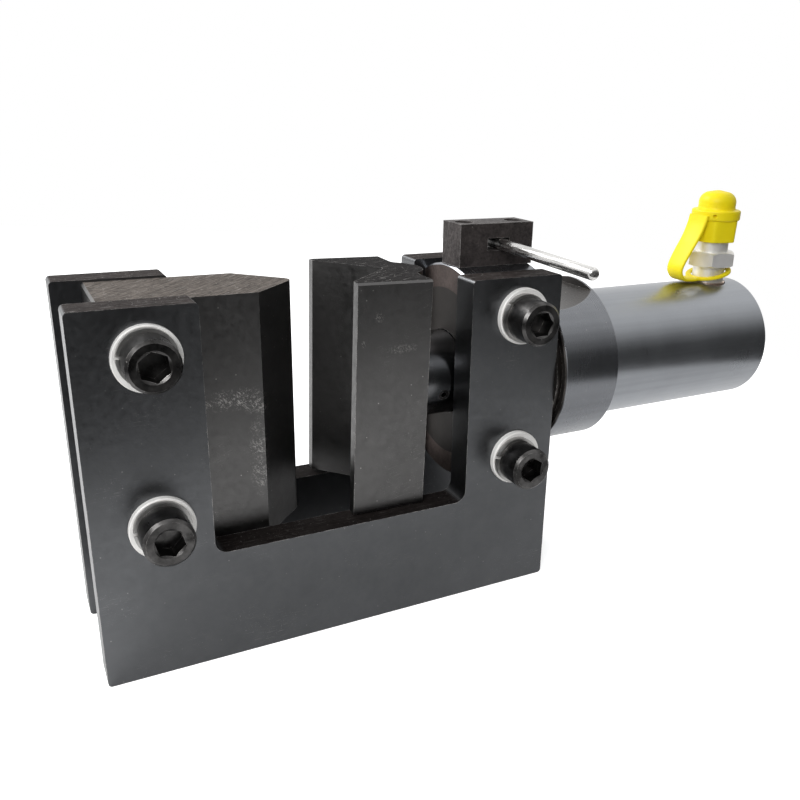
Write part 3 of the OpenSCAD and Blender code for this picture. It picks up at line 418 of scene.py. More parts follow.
def satin_oxide(name, look, base, top, top_z, worn=1.4, rubs=(), tilt=0.5, saw=0.0, dots=0.4):
    """Blued steel: satin and cloudy, with dull sawn tops, painted shade on lower upward faces,
    nicked edges, specks and scratches.
    """
    f = Finish(name)
    f.set("Specular IOR Level", 0.02)
    cloud = f.between(f.noise(13, 4), 0.32, 0.68)
    mottle = f.between(f.noise(160, 4, 0.6), 0.3, 0.7)
    tone = f.clouded(base, f.plus(f.times(cloud, 0.7), f.times(mottle, 0.3)), 0.84, 1.14)
    # Scratches in patches, and rubbed spots of grit and thicker scratches
    fine = f.scratches((0.3, tilt, 0), 0.009, 0.00025, 0.66, 0.73)
    cross = f.scratches((0, tilt + 1.1, 0.2), 0.006, 0.0002, 0.67, 0.74)
    thick = f.scratches((0.2, tilt - 0.2, 0), 0.012, 0.0005, 0.6, 0.66)
    patch = f.between(f.noise(38, 3, 0.6), 0.52, 0.66)
    marks = f.times(f.either(fine, cross), patch, 0.35 * look.wear)
    grit = f.times(f.between(f.noise(1000, 3, 0.75), 0.52, 0.6), 0.8)
    torn = f.between(f.noise(240, 5, 0.8), 0.44, 0.56, 0.05, 1.0)
    for place, reach, strength in rubs:
        spot = f.times(f.near(place, reach), torn, strength)
        marks = f.either(marks, f.times(spot, f.either(grit, thick, fine, cross), look.wear))
    uneven = f.between(cloud, 0.1, 0.9, 0.4, 1.0)
    specks = f.times(f.specks(0.003, 0.0004, 0.22), uneven, dots * look.wear)
    marks = f.either(marks, specks)
    # Sawn top: dull streaks and pits, and painted shade that darkens the upward faces that lie
    # lower
    sawn = f.facing(UP)
    streaks = f.noise(1, 4, 0.7, f.stretched((60, 1100, 60), (0, 0, -saw)))
    pits = f.noise(420, 4, 0.7)
    # Painted shade: upward faces below the top, such as the notch floors, fade to a quarter of the
    # top colour
    height = f.between(f.axis("Z"), top_z - 0.03, top_z - 0.005, 0.35, 1.0)
    grain = f.between(f.plus(streaks, f.times(pits, 0.6)), 0.6, 1.0)
    dull = f.mix(height, shade(top, 0.25), f.clouded(top, grain, 0.4, 1.9))
    lines = f.noise(1, 3, 0.6, f.stretched((90, 1500, 90), (0, 0, -saw)))
    lines = f.times(f.between(lines, 0.62, 0.7), 0.6)
    chips = f.between(f.noise(650, 3, 0.75), 0.64, 0.71)
    bright = f.times(f.either(chips, lines), sawn, height, 0.6 * look.wear)
    tone = f.mix(sawn, tone, dull)
    # Edges worn bright in short and long nicks
    nick = f.between(f.noise(240, 4, 0.75), 0.42, 0.58)
    long_nick = f.between(f.noise(45, 2, 0.6), 0.4, 0.6, 0.45, 1.0)
    edge = f.times(f.edges(look.edge), nick, long_nick, look.wear * worn)
    wear = f.either(marks, bright, edge)
    f.set("Base Color", f.mix(wear, tone, look.bare))
    f.set("Metallic", f.either(f.between(sawn, 0, 1, 1.0, 0.04), wear))
    satin = f.between(f.noise(330, 3, 0.6), 0.3, 0.7, 0.29, 0.40)
    f.set("Roughness", f.plus(satin, f.times(sawn, 0.26)))
    relief = f.times(f.plus(streaks, pits), sawn)
    f.bump(f.plus(f.times(f.noise(700, 2), 0.4), relief), 0.00006, 0.3)
    return f.material


def rough_oxide(name, look, base, worn):
    """Hot-rolled skin: pitted, blotched brown-black, with bright nicked edges."""
    f = Finish(name)
    f.set("Specular IOR Level", 0.25)
    blotch = f.between(f.noise(110, 5, 0.65), 0.35, 0.68)
    pits = f.between(f.noise(560, 4, 0.7), 0.36, 0.62)
    tone = f.clouded(base, f.plus(f.times(blotch, 0.6), f.times(pits, 0.4)), 0.4, 2.0)
    nick = f.between(f.noise(260, 4, 0.75), 0.42, 0.56)
    edge = f.times(f.edges(look.edge), nick, look.wear * worn)
    wear = f.either(edge, f.times(f.specks(0.004, 0.0003, 0.2), 0.6 * look.wear))
    f.set("Base Color", f.mix(wear, tone, look.bare))
    f.set("Metallic", f.either(wear, f.between(f.facing(UP), 0, 1, 0.35, 0.05)))
    f.set("Roughness", f.between(pits, 0, 1, 0.67, 0.47))
    f.bump(pits, 0.00016, 0.5)
    return f.material


def glossy_oxide(name, look, base, rough, worn=0.8, spread=0.1, raw=None, cuts=None, small=False):
    """Turned and blued steel with a gloss: faint turning, smudges and dust, bright rims.

    raw is the colour of faces that look towards the dies, and cuts holds the colour of painted
    shade on faces that lie inside a radius round the ram's axis, the hollow cuts of the head. A
    small part shows finer smudges and no drawn lines.
    """
    f = Finish(name)
    smudge = f.between(f.noise(140 if small else 26, 4, 0.6), 0.35, 0.7)
    drawn = f.between(f.noise(1, 4, 0.65, f.stretched((5, 300, 300))), 0.3, 0.7)
    film = smudge if small else f.plus(f.times(smudge, 0.5), f.times(drawn, 0.5))
    tone = f.clouded(base, film, 1 - 1.3 * spread, 1 + 1.3 * spread)
    forward = f.facing(TOWARDS_DIES, 0.8, 0.97)
    if raw is not None:
        skin = f.plus(f.noise(48, 5, 0.65), f.times(f.noise(700, 3, 0.7), 0.5))
        tone = f.mix(forward, tone, f.clouded(raw, f.between(skin, 0.5, 0.95), 0.55, 1.5))
    # Painted shade: faces of the hollow cuts inside the head's radius take a dark colour
    if cuts is not None:
        cut_shade, radius = cuts
        from_axis = f.arrow("SUBTRACT", f.place, (0, MID_Y, RAM_AXIS_Z))
        away = f.arrow("LENGTH", f.arrow("MULTIPLY", from_axis, (0, 1, 1)))
        inside = f.between(away, radius - 0.0001, radius - 0.0005)
        tone = f.mix(inside, tone, f.clouded(cut_shade, smudge, 0.7, 1.4))
    nick = f.between(f.noise(300, 4, 0.75), 0.45, 0.58)
    dust = f.times(f.specks(0.0028, 0.00035, 0.25), 0.6 * look.wear)
    wear = f.either(f.times(f.edges(look.edge), nick, look.wear * worn), dust)
    f.set("Base Color", f.mix(wear, tone, look.bare))
    f.set("Metallic", 1.0)
    turning = f.noise(1, 3, 0.6, f.stretched((1400, 25, 25)))
    smear = f.plus(f.times(smudge, 0.07), f.times(f.between(turning, 0.3, 0.7), 0.02))
    face = f.times(forward, 0.08 if raw is None else 0.24)
    f.set("Roughness", f.plus(smear, rough - 0.04, face))
    f.bump(f.plus(turning, f.times(f.noise(900, 2), 0.3)), 0.000003, 0.15)
    return f.material


def plain_steel(name, look, rough, base=None, spread=0.1, metal=1.0):
    """Bare or plated steel with fine turning, a cloudy greasy film and small nicks."""
    base = base or look.bare
    f = Finish(name)
    lines = f.noise(1, 3, 0.6, f.stretched((1500, 120, 120)))
    cloud = f.between(f.noise(90, 4, 0.6), 0.3, 0.72)
    nick = f.specks(0.0045, 0.0003, 0.22)
    tone = f.clouded(base, cloud, 1 - spread, 1 + spread)
    f.set("Base Color", f.mix(f.times(nick, 0.4), tone, shade(base, 0.6)))
    f.set("Metallic", metal)
    film = f.plus(lines, f.times(cloud, 0.4))
    f.set("Roughness", f.between(film, 0.3, 1.1, rough - 0.08, rough + 0.12))
    f.bump(f.plus(lines, f.times(nick, -1)), 0.00002, 0.3)
    return f.material


class BENDER_OT_camera(bpy.types.Operator):
    """Puts the camera where the picture is taken from"""

    bl_idname = "bender.camera"
    bl_label = "Camera"

    def execute(self, context):
        look = context.scene.bender_camera
        right = Vector(look.right).normalized()
        ahead = Vector(look.ahead).normalized()
        data = bpy.data.cameras.new("camera")
        data.sensor_width = look.frame_width
        data.lens = look.lens
        data.shift_x = look.shift_x
        data.shift_y = look.shift_y
        data.clip_start = 0.01
        data.clip_end = 50
        camera = bpy.data.objects.new("camera", data)
        context.scene.collection.objects.link(camera)
        turn = Matrix((right, right.cross(ahead), -ahead)).transposed().to_4x4()
        camera.matrix_world = Matrix.Translation(look.place) @ turn
        context.scene.camera = camera
        return {"FINISHED"}


class BENDER_OT_side_plates(bpy.types.Operator):
    """Gives the two side plates their satin oxide, dull on the sawn edges, with painted shade on
    the lower upward faces
    """

    bl_idname = "bender.side_plates"
    bl_label = "Side plates"

    def execute(self, context):
        look = context.scene.bender_finishes
        top_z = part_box("front_plate")[1].z
        finish = satin_oxide("plate_oxide", look, look.plate, look.plate_top, top_z)
        show(finish, "front_plate", "rear_plate")
        return {"FINISHED"}


class BENDER_OT_dies(bpy.types.Operator):
    """Gives wedge and grooved die their oxide, sawn tops and rubbed faces"""

    bl_idname = "bender.dies"
    bl_label = "Dies"

    def execute(self, context):
        look = context.scene.bender_finishes
        low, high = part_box("fixed_die")
        # Each rub: its middle, its reach along each axis, and its strength
        rubs = (
            ((low.x + 0.055, low.y, low.z + 0.071), (0.020, 0.004, 0.006), 1.0),
            ((low.x + 0.070, low.y, low.z + 0.067), (0.014, 0.004, 0.006), 1.0),
            ((low.x + 0.066, low.y, low.z + 0.042), (0.007, 0.004, 0.024), 0.7),
        )
        basis = ("wedge_oxide", look, look.die, look.wedge_top, high.z)
        show(satin_oxide(*basis, worn=1.5, rubs=rubs, tilt=0.9, saw=0.84, dots=0.8), "fixed_die")
        low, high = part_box("moving_die")
        rubs = (
            ((low.x + 0.013, low.y, high.z - 0.0175), (0.003, 0.004, 0.0032), 1.2),
            ((low.x + 0.026, low.y, high.z - 0.034), (0.010, 0.004, 0.0026), 0.55),
            ((low.x + 0.005, low.y, high.z - 0.030), (0.0014, 0.004, 0.002), 1.0),
        )
        basis = ("grooved_oxide", look, look.die, look.die_top, high.z)
        show(satin_oxide(*basis, worn=1.7, rubs=rubs, tilt=0.7, saw=0.5, dots=0.8), "moving_die")
        return {"FINISHED"}


class BENDER_OT_lever_block(bpy.types.Operator):
    """Gives the block that holds the lever its pitted black skin"""

    bl_idname = "bender.lever_block"
    bl_label = "Lever block"

    def execute(self, context):
        look = context.scene.bender_finishes
        show(rough_oxide("block_oxide", look, look.block, worn=1.2), "pin_block")
        return {"FINISHED"}


class BENDER_OT_ram(bpy.types.Operator):
    """Gives the ram its oxide and the ground steel parts their finish"""

    bl_idname = "bender.ram"
    bl_label = "Ram"

    def execute(self, context):
        look = context.scene.bender_finishes
        show(glossy_oxide("ram_oxide", look, look.ram, rough=0.24), "ram")
        ground = plain_steel("ground_steel", look, rough=0.28)
        show(ground, "stop_sleeve", "spring_front_anchor", "spring_rear_anchor", "lever_pin")
        show(ground, "coupler_poppet", "coupler_retainer")
        return {"FINISHED"}


class BENDER_OT_cylinder(bpy.types.Operator):
    """Gives the tube and the head of the cylinder their glossy turned oxide, with painted shade in
    the head's cuts
    """

    bl_idname = "bender.cylinder"
    bl_label = "Cylinder"

    def execute(self, context):
        look = context.scene.bender_finishes
        show(glossy_oxide("tube_oxide", look, look.tube, rough=0.3), "cylinder_tube")
        low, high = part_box("cylinder_head")
        cuts = (look.scoop_shade, (high.y - low.y) / 2)
        head = glossy_oxide(
            "head_oxide", look, look.head, rough=0.28, worn=1.3, raw=look.flange, cuts=cuts
        )
        show(head, "cylinder_head")
        return {"FINISHED"}


class BENDER_OT_fasteners(bpy.types.Operator):
    """Gives socket screws their black oxide and washers their bright zinc"""

    bl_idname = "bender.fasteners"
    bl_label = "Screws and washers"

    def execute(self, context):
        look = context.scene.bender_finishes
        screws = glossy_oxide(
            "screw_oxide", look, look.screw, rough=0.3, worn=1.4, spread=0.45, small=True
        )
        show(screws, "frame_screws", "block_screws", "die_set_screw")
        show(plain_steel("bright_zinc", look, 0.5, look.zinc, metal=0.1), "flat_washers")
        show(plain_steel("spring_steel", look, 0.36, shade(look.zinc, 0.5)), "spring_washers")
        return {"FINISHED"}


class BENDER_OT_lever(bpy.types.Operator):
    """Gives the lever rod its polish, and painted shade on its part inside the block"""

    bl_idname = "bender.lever"
    bl_label = "Lever"

    def execute(self, context):
        look = context.scene.bender_finishes
        f = Finish("polished_rod")
        streaks = f.noise(1, 3, 0.6, f.stretched((700, 14, 700)))
        cloud = f.between(f.noise(120, 4, 0.6), 0.35, 0.68)
        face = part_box("pin_block")[0].y
        # Painted shade: the rod's part inside the block's slot turns almost black
        slot_shade = f.between(f.axis("Y"), face - 0.0005, face + 0.002)
        tone = f.clouded(look.rod, f.between(streaks, 0.36, 0.6), 0.62, 1.08)
        f.set("Base Color", f.mix(slot_shade, tone, shade(look.rod, 0.06)))
        f.set("Metallic", 1.0)
        polish = f.between(streaks, 0.35, 0.65, 0.12, 0.26)
        f.set("Roughness", f.plus(polish, f.times(cloud, 0.08)))
        f.bump(streaks, 0.00002, 0.3)
        show(f.material, "lever")
        return {"FINISHED"}


class BENDER_OT_coupler(bpy.types.Operator):
    """Gives the hose coupler its plating and its sealing ring its copper"""

    bl_idname = "bender.coupler"
    bl_label = "Coupler"

    def execute(self, context):
        look = context.scene.bender_finishes
        body = plain_steel("coupler_zinc", look, 0.42, look.coupler, spread=0.06, metal=0.6)
        show(body, "coupler_body")
        show(plain_steel("copper", look, 0.35, look.copper), "coupler_seal")
        return {"FINISHED"}


class BENDER_OT_seals(bpy.types.Operator):
    """Gives seals, rings and bush their polyurethane, rubber and bronze"""

    bl_idname = "bender.seals"
    bl_label = "Seals and bush"

    def execute(self, context):
        look = context.scene.bender_finishes
        bronze = plain_steel("bearing_bronze", look, 0.3, look.bronze)
        show(bronze, "guide_bush", "piston_guide_ring")
        for name, base, rough, nodes in (
            ("seal_polyurethane", look.seal, 0.38, ("piston_seal", "wiper_ring")),
            ("black_rubber", look.rubber, 0.5, ("tube_o_ring", "nipple_o_ring")),
        ):
            f = Finish(name)
            grain = f.between(f.noise(900, 3), 0.3, 0.7)
            f.set("Base Color", f.clouded(base, grain, 0.8, 1.25))
            f.set("Roughness", f.between(grain, 0, 1, rough - 0.06, rough + 0.1))
            f.bump(grain, 0.00002, 0.4)
            show(f.material, *nodes)
        return {"FINISHED"}


def vinyl(look):
    """Smooth yellow vinyl with faint marks of handling, made once for cap and strap."""
    found = bpy.data.materials.get("yellow_vinyl")
    if found:
        return found
    f = Finish("yellow_vinyl")
    f.set("Subsurface Weight", 0.15)
    f.set("Specular IOR Level", 0.25)
    f.set("Subsurface Scale", 0.004)
    f.set("Subsurface Radius", (1.0, 0.75, 0.1))
    cloud = f.between(f.noise(60, 4, 0.6), 0.3, 0.72)
    dust = f.specks(0.005, 0.00025, 0.15)
    red, green, blue = look.vinyl
    tone = f.mix(cloud, (red * 0.95, green * 0.92, blue), look.vinyl)
    f.set("Base Color", f.mix(f.times(dust, 0.4), tone, shade(look.vinyl, 0.5)))
    f.set("Roughness", f.between(cloud, 0, 1, 0.38, 0.5))
    f.bump(f.plus(cloud, f.times(f.noise(1400, 2, 0.5), 0.1)), 0.00005, 0.3)
    return f.material


def make_piece(name, build, material):
    """A mesh object from a bmesh, smooth except at sharp edges."""
    data = bpy.data.meshes.new(name)
    bmesh.ops.recalc_face_normals(build, faces=build.faces)
    for edge in build.edges:
        edge.smooth = len(edge.link_faces) < 2 or edge.calc_face_angle(0) < SMOOTH_BELOW
    for face in build.faces:
        face.smooth = True
    build.to_mesh(data)
    build.free()
    data.materials.append(material)
    piece = bpy.data.objects.new(name, data)
    bpy.context.scene.collection.objects.link(piece)
    return piece


def bridge(build, low, high):
    """Faces between two rings of vertices."""
    for j in range(len(low)):
        k = (j + 1) % len(low)
        build.faces.new((low[j], low[k], high[k], high[j]))


def loft(build, rings, closed=False):
    """Joins rings of points with faces, and the last ring to the first if closed."""
    rows = [[build.verts.new(p) for p in ring] for ring in rings]
    following = rows[1:] + rows[:1] if closed else rows[1:]
    for low, high in zip(rows, following):
        bridge(build, low, high)
    return rows


def fan(build, row, tip):
    """Faces from a ring of vertices to one point."""
    tip = build.verts.new(tip)
    for j in range(len(row)):
        build.faces.new((row[j], row[(j + 1) % len(row)], tip))


def quarter(x, z, radius, start, steps=6):
    """Points on a quarter circle round (x, z), from a start angle in degrees, turning left."""
    turns = [math.radians(start + 90 * i / steps) for i in range(steps + 1)]
    return [(x + radius * math.cos(t), z + radius * math.sin(t)) for t in turns]


class BENDER_OT_dust_cap(bpy.types.Operator):
    """Moulds the dust cap: hexagonal skirt, rim with a small hole, and dome"""

    bl_idname = "bender.dust_cap"
    bl_label = "Dust cap"

    def execute(self, context):
        cap = context.scene.bender_cap
        build = bmesh.new()
        rows = loft(build, [self.ring(cap, *entry) for entry in self.profile(cap)])
        fan(build, rows[-1], (CAP_AXIS.x, CAP_AXIS.y, CAP_TOP))
        bore, roof, chamfer = cap.bore / 2, CAP_FOOT + cap.bore_height, 0.0008
        hollow = [self.ring(cap, bore, roof - chamfer), self.ring(cap, bore - chamfer, roof)]
        inside = loft(build, hollow)
        bridge(build, rows[0], inside[0])
        fan(build, inside[-1], (CAP_AXIS.x, CAP_AXIS.y, roof))
        piece = make_piece("dust_cap_moulded", build, vinyl(context.scene.bender_finishes))
        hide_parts("dust_cap")
        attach(piece, "cap")
        return {"FINISHED"}

    def profile(self, cap):
        """The cap's outside from its mouth to its crown.

        Each entry holds a radius or half width, a height, and True where the outline is hexagonal.
        """
        foot, top = cap.skirt_low / 2, cap.skirt_high / 2
        rim, dome, bore = cap.rim / 2, cap.dome / 2, cap.bore / 2
        soft, lip, rise = cap.foot_round, cap.rim_round, cap.dome_rise
        rim_z = CAP_FOOT + cap.skirt_height
        dome_z = rim_z + cap.rim_height
        run = cap.skirt_height - soft - 0.0002
        skirt = quarter(foot - soft, CAP_FOOT + soft, soft, -90)
        for t in [i / 9 for i in range(1, 9)]:
            skirt.append((foot + (top - foot) * t, CAP_FOOT + soft + run * t))
        skirt.append((top, rim_z))
        above = quarter(rim - lip, rim_z + lip, lip, -90)
        above += [(rim, rim_z + lip + (cap.rim_height - 2 * lip) * i / 16) for i in range(1, 16)]
        above += quarter(rim - lip, dome_z - lip, lip, 0)
        # Small hollow fillet between rim and dome
        above += [(dome + 0.0009, dome_z), (dome + 0.0003, dome_z + 0.0003)]
        above.append((dome, dome_z + 0.0012))
        straight = CAP_TOP - cap.dome_round - rise
        flat = dome - cap.dome_round
        above.append((dome - 0.0001, (dome_z + straight) / 2))
        above += quarter(flat, straight, cap.dome_round, 0, 10)
        for t in (0.25, 0.5, 0.75):
            above.append((flat * (1 - t), CAP_TOP - rise + rise * math.sin(math.pi / 2 * t)))
        mouth = [(bore, CAP_FOOT + 0.0006), (bore + 0.0004, CAP_FOOT)]
        outline = ((mouth, False), (skirt, True), (above, False))
        return [(x, z, hexagon) for points, hexagon in outline for x, z in points]

    def ring(self, cap, half, height, hexagon=False):
        """Points round the cap at one height, with the small hole pressed into the rim."""
        points = []
        middle = CAP_FOOT + cap.skirt_height + cap.rim_height / 2
        soft = 0.0003
        for j in range(cap.segments):
            angle = 2 * math.pi * j / cap.segments
            radius = half
            if hexagon:
                off = (angle - cap.skirt_turn) % (math.pi / 3) - math.pi / 6
                corner = half / math.cos(math.pi / 6) - cap.skirt_round
                straight = half / math.cos(off)
                radius = -soft * math.log(math.exp(-straight / soft) + math.exp(-corner / soft))
                radius = min(radius, straight)
            elif abs(half - cap.rim / 2) < 1e-6:
                side = (angle - cap.hole_turn + math.pi) % (2 * math.pi) - math.pi
                away = math.hypot(side * half, height - middle) / (cap.hole / 2)
                if away < 1:
                    radius -= cap.hole_depth * min(1, 3 * (1 - away))
            out = Vector((radius * math.cos(angle), radius * math.sin(angle), height))
            points.append(CAP_AXIS + out)
        return points


def smooth_route(points, steps):
    """A curve through all the points, with an even number of steps between each pair."""
    route = []
    last = len(points) - 1
    for i in range(last):
        p0, p1 = points[max(i - 1, 0)], points[i]
        p2, p3 = points[i + 1], points[min(i + 2, last)]
        square = 2 * p0 - 5 * p1 + 4 * p2 - p3
        cube = 3 * p1 - p0 - 3 * p2 + p3
        for t in [s / steps for s in range(steps)]:
            route.append((2 * p1 + (p2 - p0) * t + square * t**2 + cube * t**3) / 2)
    route.append(points[-1])
    return route


class BENDER_OT_cap_strap(bpy.types.Operator):
    """Moulds the strap: a bent band from the cap's rim to a ring round the coupler"""

    bl_idname = "bender.cap_strap"
    bl_label = "Cap strap"

    def execute(self, context):
        cap, strap = context.scene.bender_cap, context.scene.bender_strap
        rim_mid = CAP_FOOT + cap.skirt_height + cap.rim_height / 2
        ring_z = (STRAP_FOOT + 0.0012) + strap.ring / 2 * math.sin(strap.tilt)
        out, joint = cap.rim / 2, 0.0124
        marks = [(-out + 0.0009, rim_mid), (-out - 0.0007, rim_mid - 0.006)]
        marks += [(x * MM, TUBE_TOP + z * MM) for x, z in STRAP_ROUTE]
        marks.append((-joint, ring_z - joint * math.tan(strap.tilt)))
        route = smooth_route([Vector((x, 0, z)) for x, z in marks], 6)
        last = len(route) - 1
        narrower = strap.width_low - strap.width_high
        rings = []
        for i, point in enumerate(route):
            ahead = (route[min(i + 1, last)] - route[max(i - 1, 0)]).normalized()
            side = Vector((-ahead.z, 0, ahead.x))
            width = strap.width_high + narrower * min(1, 1.15 * i / last)
            rings.append(self.section(point, side, width, strap.thick))
        build = bmesh.new()
        rows = loft(build, rings)
        build.faces.new(rows[0])
        build.faces.new(rows[-1])
        self.washer(build, strap, ring_z)
        finish = vinyl(context.scene.bender_finishes)
        piece = make_piece("cap_strap_moulded", build, finish)
        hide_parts("cap_strap")
        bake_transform(piece)
        return {"FINISHED"}

    def section(self, point, side, width, thick):
        """A flat band's outline with round edges."""
        points = []
        flatter = 0.92
        radius = thick / 2 * flatter
        for sign in (1, -1):
            middle = sign * (width / 2 - radius)
            for angle in [math.pi * k / 6 for k in range(7)]:
                across = middle + sign * radius * math.sin(angle)
                up = sign * radius * math.cos(angle) / flatter
                points.append(point + side * up + Vector((0, across, 0)) + CAP_AXIS)
        return points

    def washer(self, build, strap, ring_z, around=96, about=16, squareness=0.45):
        """The ring round the coupler, with round edges."""
        inner, outer, thick = strap.hole / 2, strap.ring / 2, strap.thick / 2
        middle, reach = (inner + outer) / 2, (outer - inner) / 2
        tilt = Matrix.Rotation(-strap.tilt, 4, "Y")
        centre = Vector((CAP_AXIS.x, CAP_AXIS.y, ring_z))
        rings = []
        for angle in [2 * math.pi * j / around for j in range(around)]:
            ring = []
            for a in [2 * math.pi * k / about for k in range(about)]:
                x = math.copysign(abs(math.cos(a)) ** squareness, math.cos(a)) * reach
                z = math.copysign(abs(math.sin(a)) ** squareness, math.sin(a)) * thick
                far = middle + x
                local = Vector((far * math.cos(angle), far * math.sin(angle), z))
                ring.append(tilt @ local + centre)
            rings.append(ring)
        loft(build, rings, closed=True)


def coil_tree(name):
    """Geometry nodes: a coil of round wire along Z, and the node that turns and places it."""
    tree = bpy.data.node_groups.new(name, "GeometryNodeTree")
    face = tree.interface
    face.new_socket("Geometry", in_out="OUTPUT", socket_type="NodeSocketGeometry")
    for label, kind in (
        ("Geometry", "Geometry"),
        ("Turns", "Float"),
        ("Radius", "Float"),
        ("Wire", "Float"),
        ("Length", "Float"),
        ("Place", "Vector"),
        ("Finish", "Material"),
    ):
        face.new_socket(label, in_out="INPUT", socket_type="NodeSocket" + kind)
    n = Nodes(tree)
    given = n.add("NodeGroupInput").outputs
    spiral = {
        "Resolution": 28,
        "Rotations": given["Turns"],
        "Start Radius": given["Radius"],
        "End Radius": given["Radius"],
        "Height": given["Length"],
    }
    spiral = n.add("GeometryNodeCurveSpiral", spiral).outputs["Curve"]
    wire = {"Resolution": 12, "Radius": given["Wire"]}
    wire = n.add("GeometryNodeCurvePrimitiveCircle", wire).outputs["Curve"]
    tube = {"Curve": spiral, "Profile Curve": wire, "Fill Caps": True}
    tube = n.add("GeometryNodeCurveToMesh", tube).outputs["Mesh"]
    turn = n.add("GeometryNodeTransform", {"Geometry": tube, "Translation": given["Place"]})
    real = n.add("GeometryNodeRealizeInstances", {"Geometry": turn.outputs["Geometry"]})
    paint = {"Geometry": real.outputs["Geometry"], "Material": given["Finish"]}
    paint = n.add("GeometryNodeSetMaterial", paint).outputs["Geometry"]
    n.add("NodeGroupOutput", {"Geometry": paint})
    return tree, turn


class BENDER_OT_springs(bpy.types.Operator):
    """Winds the return spring and the valve spring from round wire"""

    bl_idname = "bender.springs"
    bl_label = "Springs"

    def execute(self, context):
        sizes = context.scene.bender_springs
        low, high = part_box("return_spring")
        wire = sizes.return_wire
        self.wind(
            "return_spring_wound",
            "return_spring",
            turn=(0, math.pi / 2, 0),
            place=(low.x + wire / 2, MID_Y, RAM_AXIS_Z),
            span=high.x - low.x - wire,
            values=(sizes.return_coils, sizes.return_radius, wire),
            body="ram_group",
            fixed=(high.x, MID_Y, RAM_AXIS_Z),
            moving=(low.x, MID_Y, RAM_AXIS_Z),
        )
        low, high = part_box("coupler_spring")
        wire = sizes.valve_wire
        self.wind(
            "valve_spring_wound",
            "coupler_spring",
            turn=(0, 0, 0),
            place=(CAP_AXIS.x, CAP_AXIS.y, low.z + wire / 2),
            span=high.z - low.z - wire,
            values=(sizes.valve_coils, sizes.valve_radius, wire),
            body="valve",
            fixed=(CAP_AXIS.x, CAP_AXIS.y, low.z),
            moving=(CAP_AXIS.x, CAP_AXIS.y, high.z),
        )
        return {"FINISHED"}

    def wind(self, name, node, turn, place, span, values, body, fixed, moving):
        """A coil from its tree, made into a plain mesh."""
        coils, radius, wire = values
        finish = bpy.data.materials["spring_steel"]
        tree, rotate = coil_tree(name + "_tree")
        rotate.inputs["Rotation"].default_value = turn
        seed = bpy.data.objects.new(name, bpy.data.meshes.new(name + "_seed"))
        bpy.context.scene.collection.objects.link(seed)
        modifier = seed.modifiers.new("coil", "NODES")
        modifier.node_group = tree
        given = {
            "Turns": float(coils),
            "Radius": radius,
            "Wire": wire / 2,
            "Length": span,
            "Place": place,
            "Finish": finish,
        }
        for item in tree.interface.items_tree:
            if item.name in given:
                modifier[item.identifier] = given[item.name]
        bpy.context.view_layer.update()
        evaluated = seed.evaluated_get(bpy.context.evaluated_depsgraph_get())
        data = bpy.data.meshes.new_from_object(evaluated)
        seed.modifiers.clear()
        seed.data = data
        for face in data.polygons:
            face.use_smooth = True
        if not data.materials:
            data.materials.append(finish)
        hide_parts(node)
        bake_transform(seed)


class BENDER_OT_stage(bpy.types.Operator):
    """Lays the floor and sets the white background and the lamps"""

    bl_idname = "bender.stage"
    bl_label = "Stage"

    def execute(self, context):
        look = context.scene.bender_stage
        self.floor(look)
        self.world(context, look)
        self.lamp("key_lamp", look.key, (-0.6, 0.8, 0.95), 0.7, look.shadow)
        self.lamp("side_lamp", look.side, (-0.8, -0.7, 0.8), 0.6, look.shadow)
        context.scene.view_settings.view_transform = "Standard"
        return {"FINISHED"}

    def floor(self, look):
        """A pale sheet that ends a little in front of the object, as on a table."""
        build = bmesh.new()
        turn = Matrix.Rotation(look.floor_turn, 4, "Z")
        (left, near), (right, far) = look.floor_low, look.floor_high
        corners = ((left, near), (right, near), (right, far), (left, far))
        build.faces.new([build.verts.new(turn @ Vector((x, y, 0))) for x, y in corners])
        f = Finish("studio_floor")
        f.set("Roughness", 0.9)
        f.set("Base Color", f.clouded(look.floor, f.noise(3, 2), 0.985, 1.0))
        rays = f.add("ShaderNodeLightPath").outputs
        seen = f.either(rays["Is Camera Ray"], f.times(rays["Is Glossy Ray"], look.mirror))
        f.set("Emission Color", (1, 1, 1))
        f.set("Emission Strength", f.times(seen, look.glow))
        make_piece("floor", build, f.material)

    def world(self, context, look):
        """White where it is seen, and a white room with a dark front where it is mirrored."""
        world = bpy.data.worlds.new("studio_white")
        world.use_nodes = True
        n = Nodes(world.node_tree)
        toward = n.add("ShaderNodeTexCoord").outputs["Generated"]
        slope = n.arrow("DOT_PRODUCT", toward, look.bright_side)
        room = n.between(slope, look.dark_until, look.white_from, look.dark, look.sky)
        rays = n.add("ShaderNodeLightPath").outputs
        share = n.between(rays["Is Glossy Ray"], 0, 1, look.ambient, 1)
        seen = n.either(rays["Is Camera Ray"], rays["Is Transmission Ray"])
        back = world.node_tree.nodes["Background"].inputs
        n.put(back["Color"], (1, 1, 1))
        n.put(back["Strength"], n.between(seen, 0, 1, n.times(room, share), 1))
        context.scene.world = world

    def lamp(self, name, power, place, size, shadow):
        """A round soft lamp aimed at the object."""
        data = bpy.data.lights.new(name, "AREA")
        data.energy = power
        data.shape = "DISK"
        data.size = size
        data.use_shadow = shadow
        lamp = bpy.data.objects.new(name, data)
        bpy.context.scene.collection.objects.link(lamp)
        turn = (LAMP_AIM - Vector(place)).to_track_quat("-Z", "Y").to_matrix().to_4x4()
        lamp.matrix_world = Matrix.Translation(place) @ turn


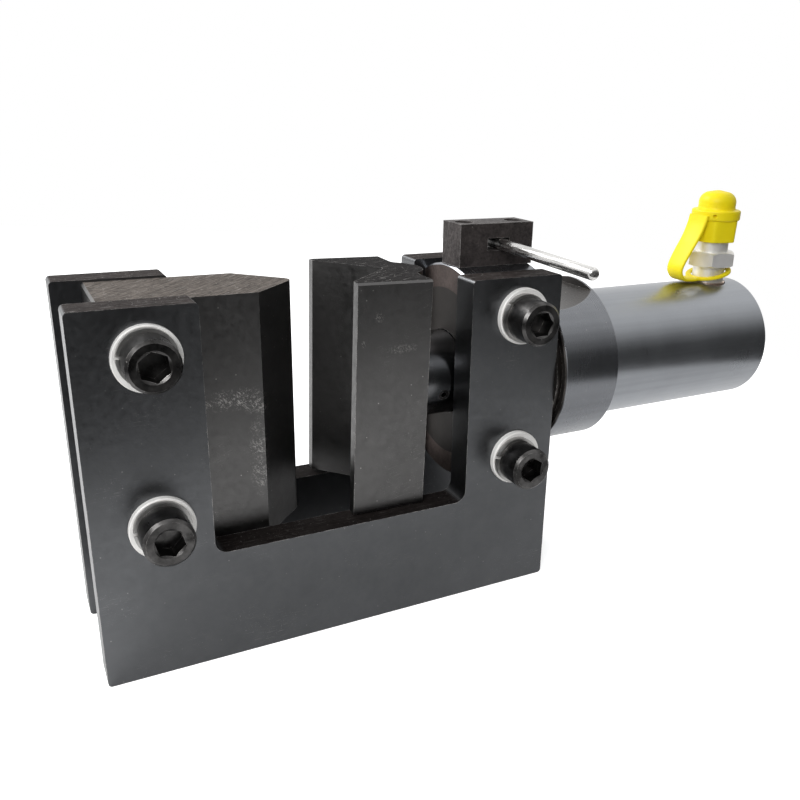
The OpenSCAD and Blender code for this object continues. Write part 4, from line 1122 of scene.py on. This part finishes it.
class BENDER_PT_panel(bpy.types.Panel):
    """Sidebar panel with the sizes, colours and pieces of the bar bender"""

    bl_idname = "BENDER_PT_panel"
    bl_label = "Bar Bender"
    bl_space_type = "VIEW_3D"
    bl_region_type = "UI"
    bl_category = "Bar Bender"

    def draw(self, context):
        for group in GROUPS:
            box = self.layout.box()
            holder = getattr(context.scene, group)
            for name in holder.__annotations__:
                box.prop(holder, name)
        for operator in OPERATORS:
            self.layout.operator(operator.bl_idname)


GROUPS = {
    "bender_camera": BenderCamera,
    "bender_finishes": BenderFinishes,
    "bender_cap": BenderCap,
    "bender_strap": BenderStrap,
    "bender_springs": BenderSprings,
    "bender_stage": BenderStage,
}
OPERATORS = (
    BENDER_OT_camera,
    BENDER_OT_side_plates,
    BENDER_OT_dies,
    BENDER_OT_lever_block,
    BENDER_OT_ram,
    BENDER_OT_cylinder,
    BENDER_OT_fasteners,
    BENDER_OT_lever,
    BENDER_OT_coupler,
    BENDER_OT_seals,
    BENDER_OT_dust_cap,
    BENDER_OT_cap_strap,
    BENDER_OT_springs,
    BENDER_OT_stage,
)
CLASSES = (*GROUPS.values(), *OPERATORS, BENDER_PT_panel)


def register():
    for cls in CLASSES:
        bpy.utils.register_class(cls)
    for name, group in GROUPS.items():
        setattr(bpy.types.Scene, name, PointerProperty(type=group))


def unregister():
    for name in reversed(GROUPS):
        delattr(bpy.types.Scene, name)
    for cls in reversed(CLASSES):
        bpy.utils.unregister_class(cls)


def main():
    register()
    bpy.ops.bender.camera()
    bpy.ops.bender.side_plates()
    bpy.ops.bender.dies()
    bpy.ops.bender.lever_block()
    bpy.ops.bender.ram()
    bpy.ops.bender.cylinder()
    bpy.ops.bender.fasteners()
    bpy.ops.bender.lever()
    bpy.ops.bender.coupler()
    bpy.ops.bender.seals()
    bpy.ops.bender.dust_cap()
    bpy.ops.bender.cap_strap()
    bpy.ops.bender.springs()
    bpy.ops.bender.stage()
    bpy.context.view_layer.update()


if __name__ == "__main__":
    main()
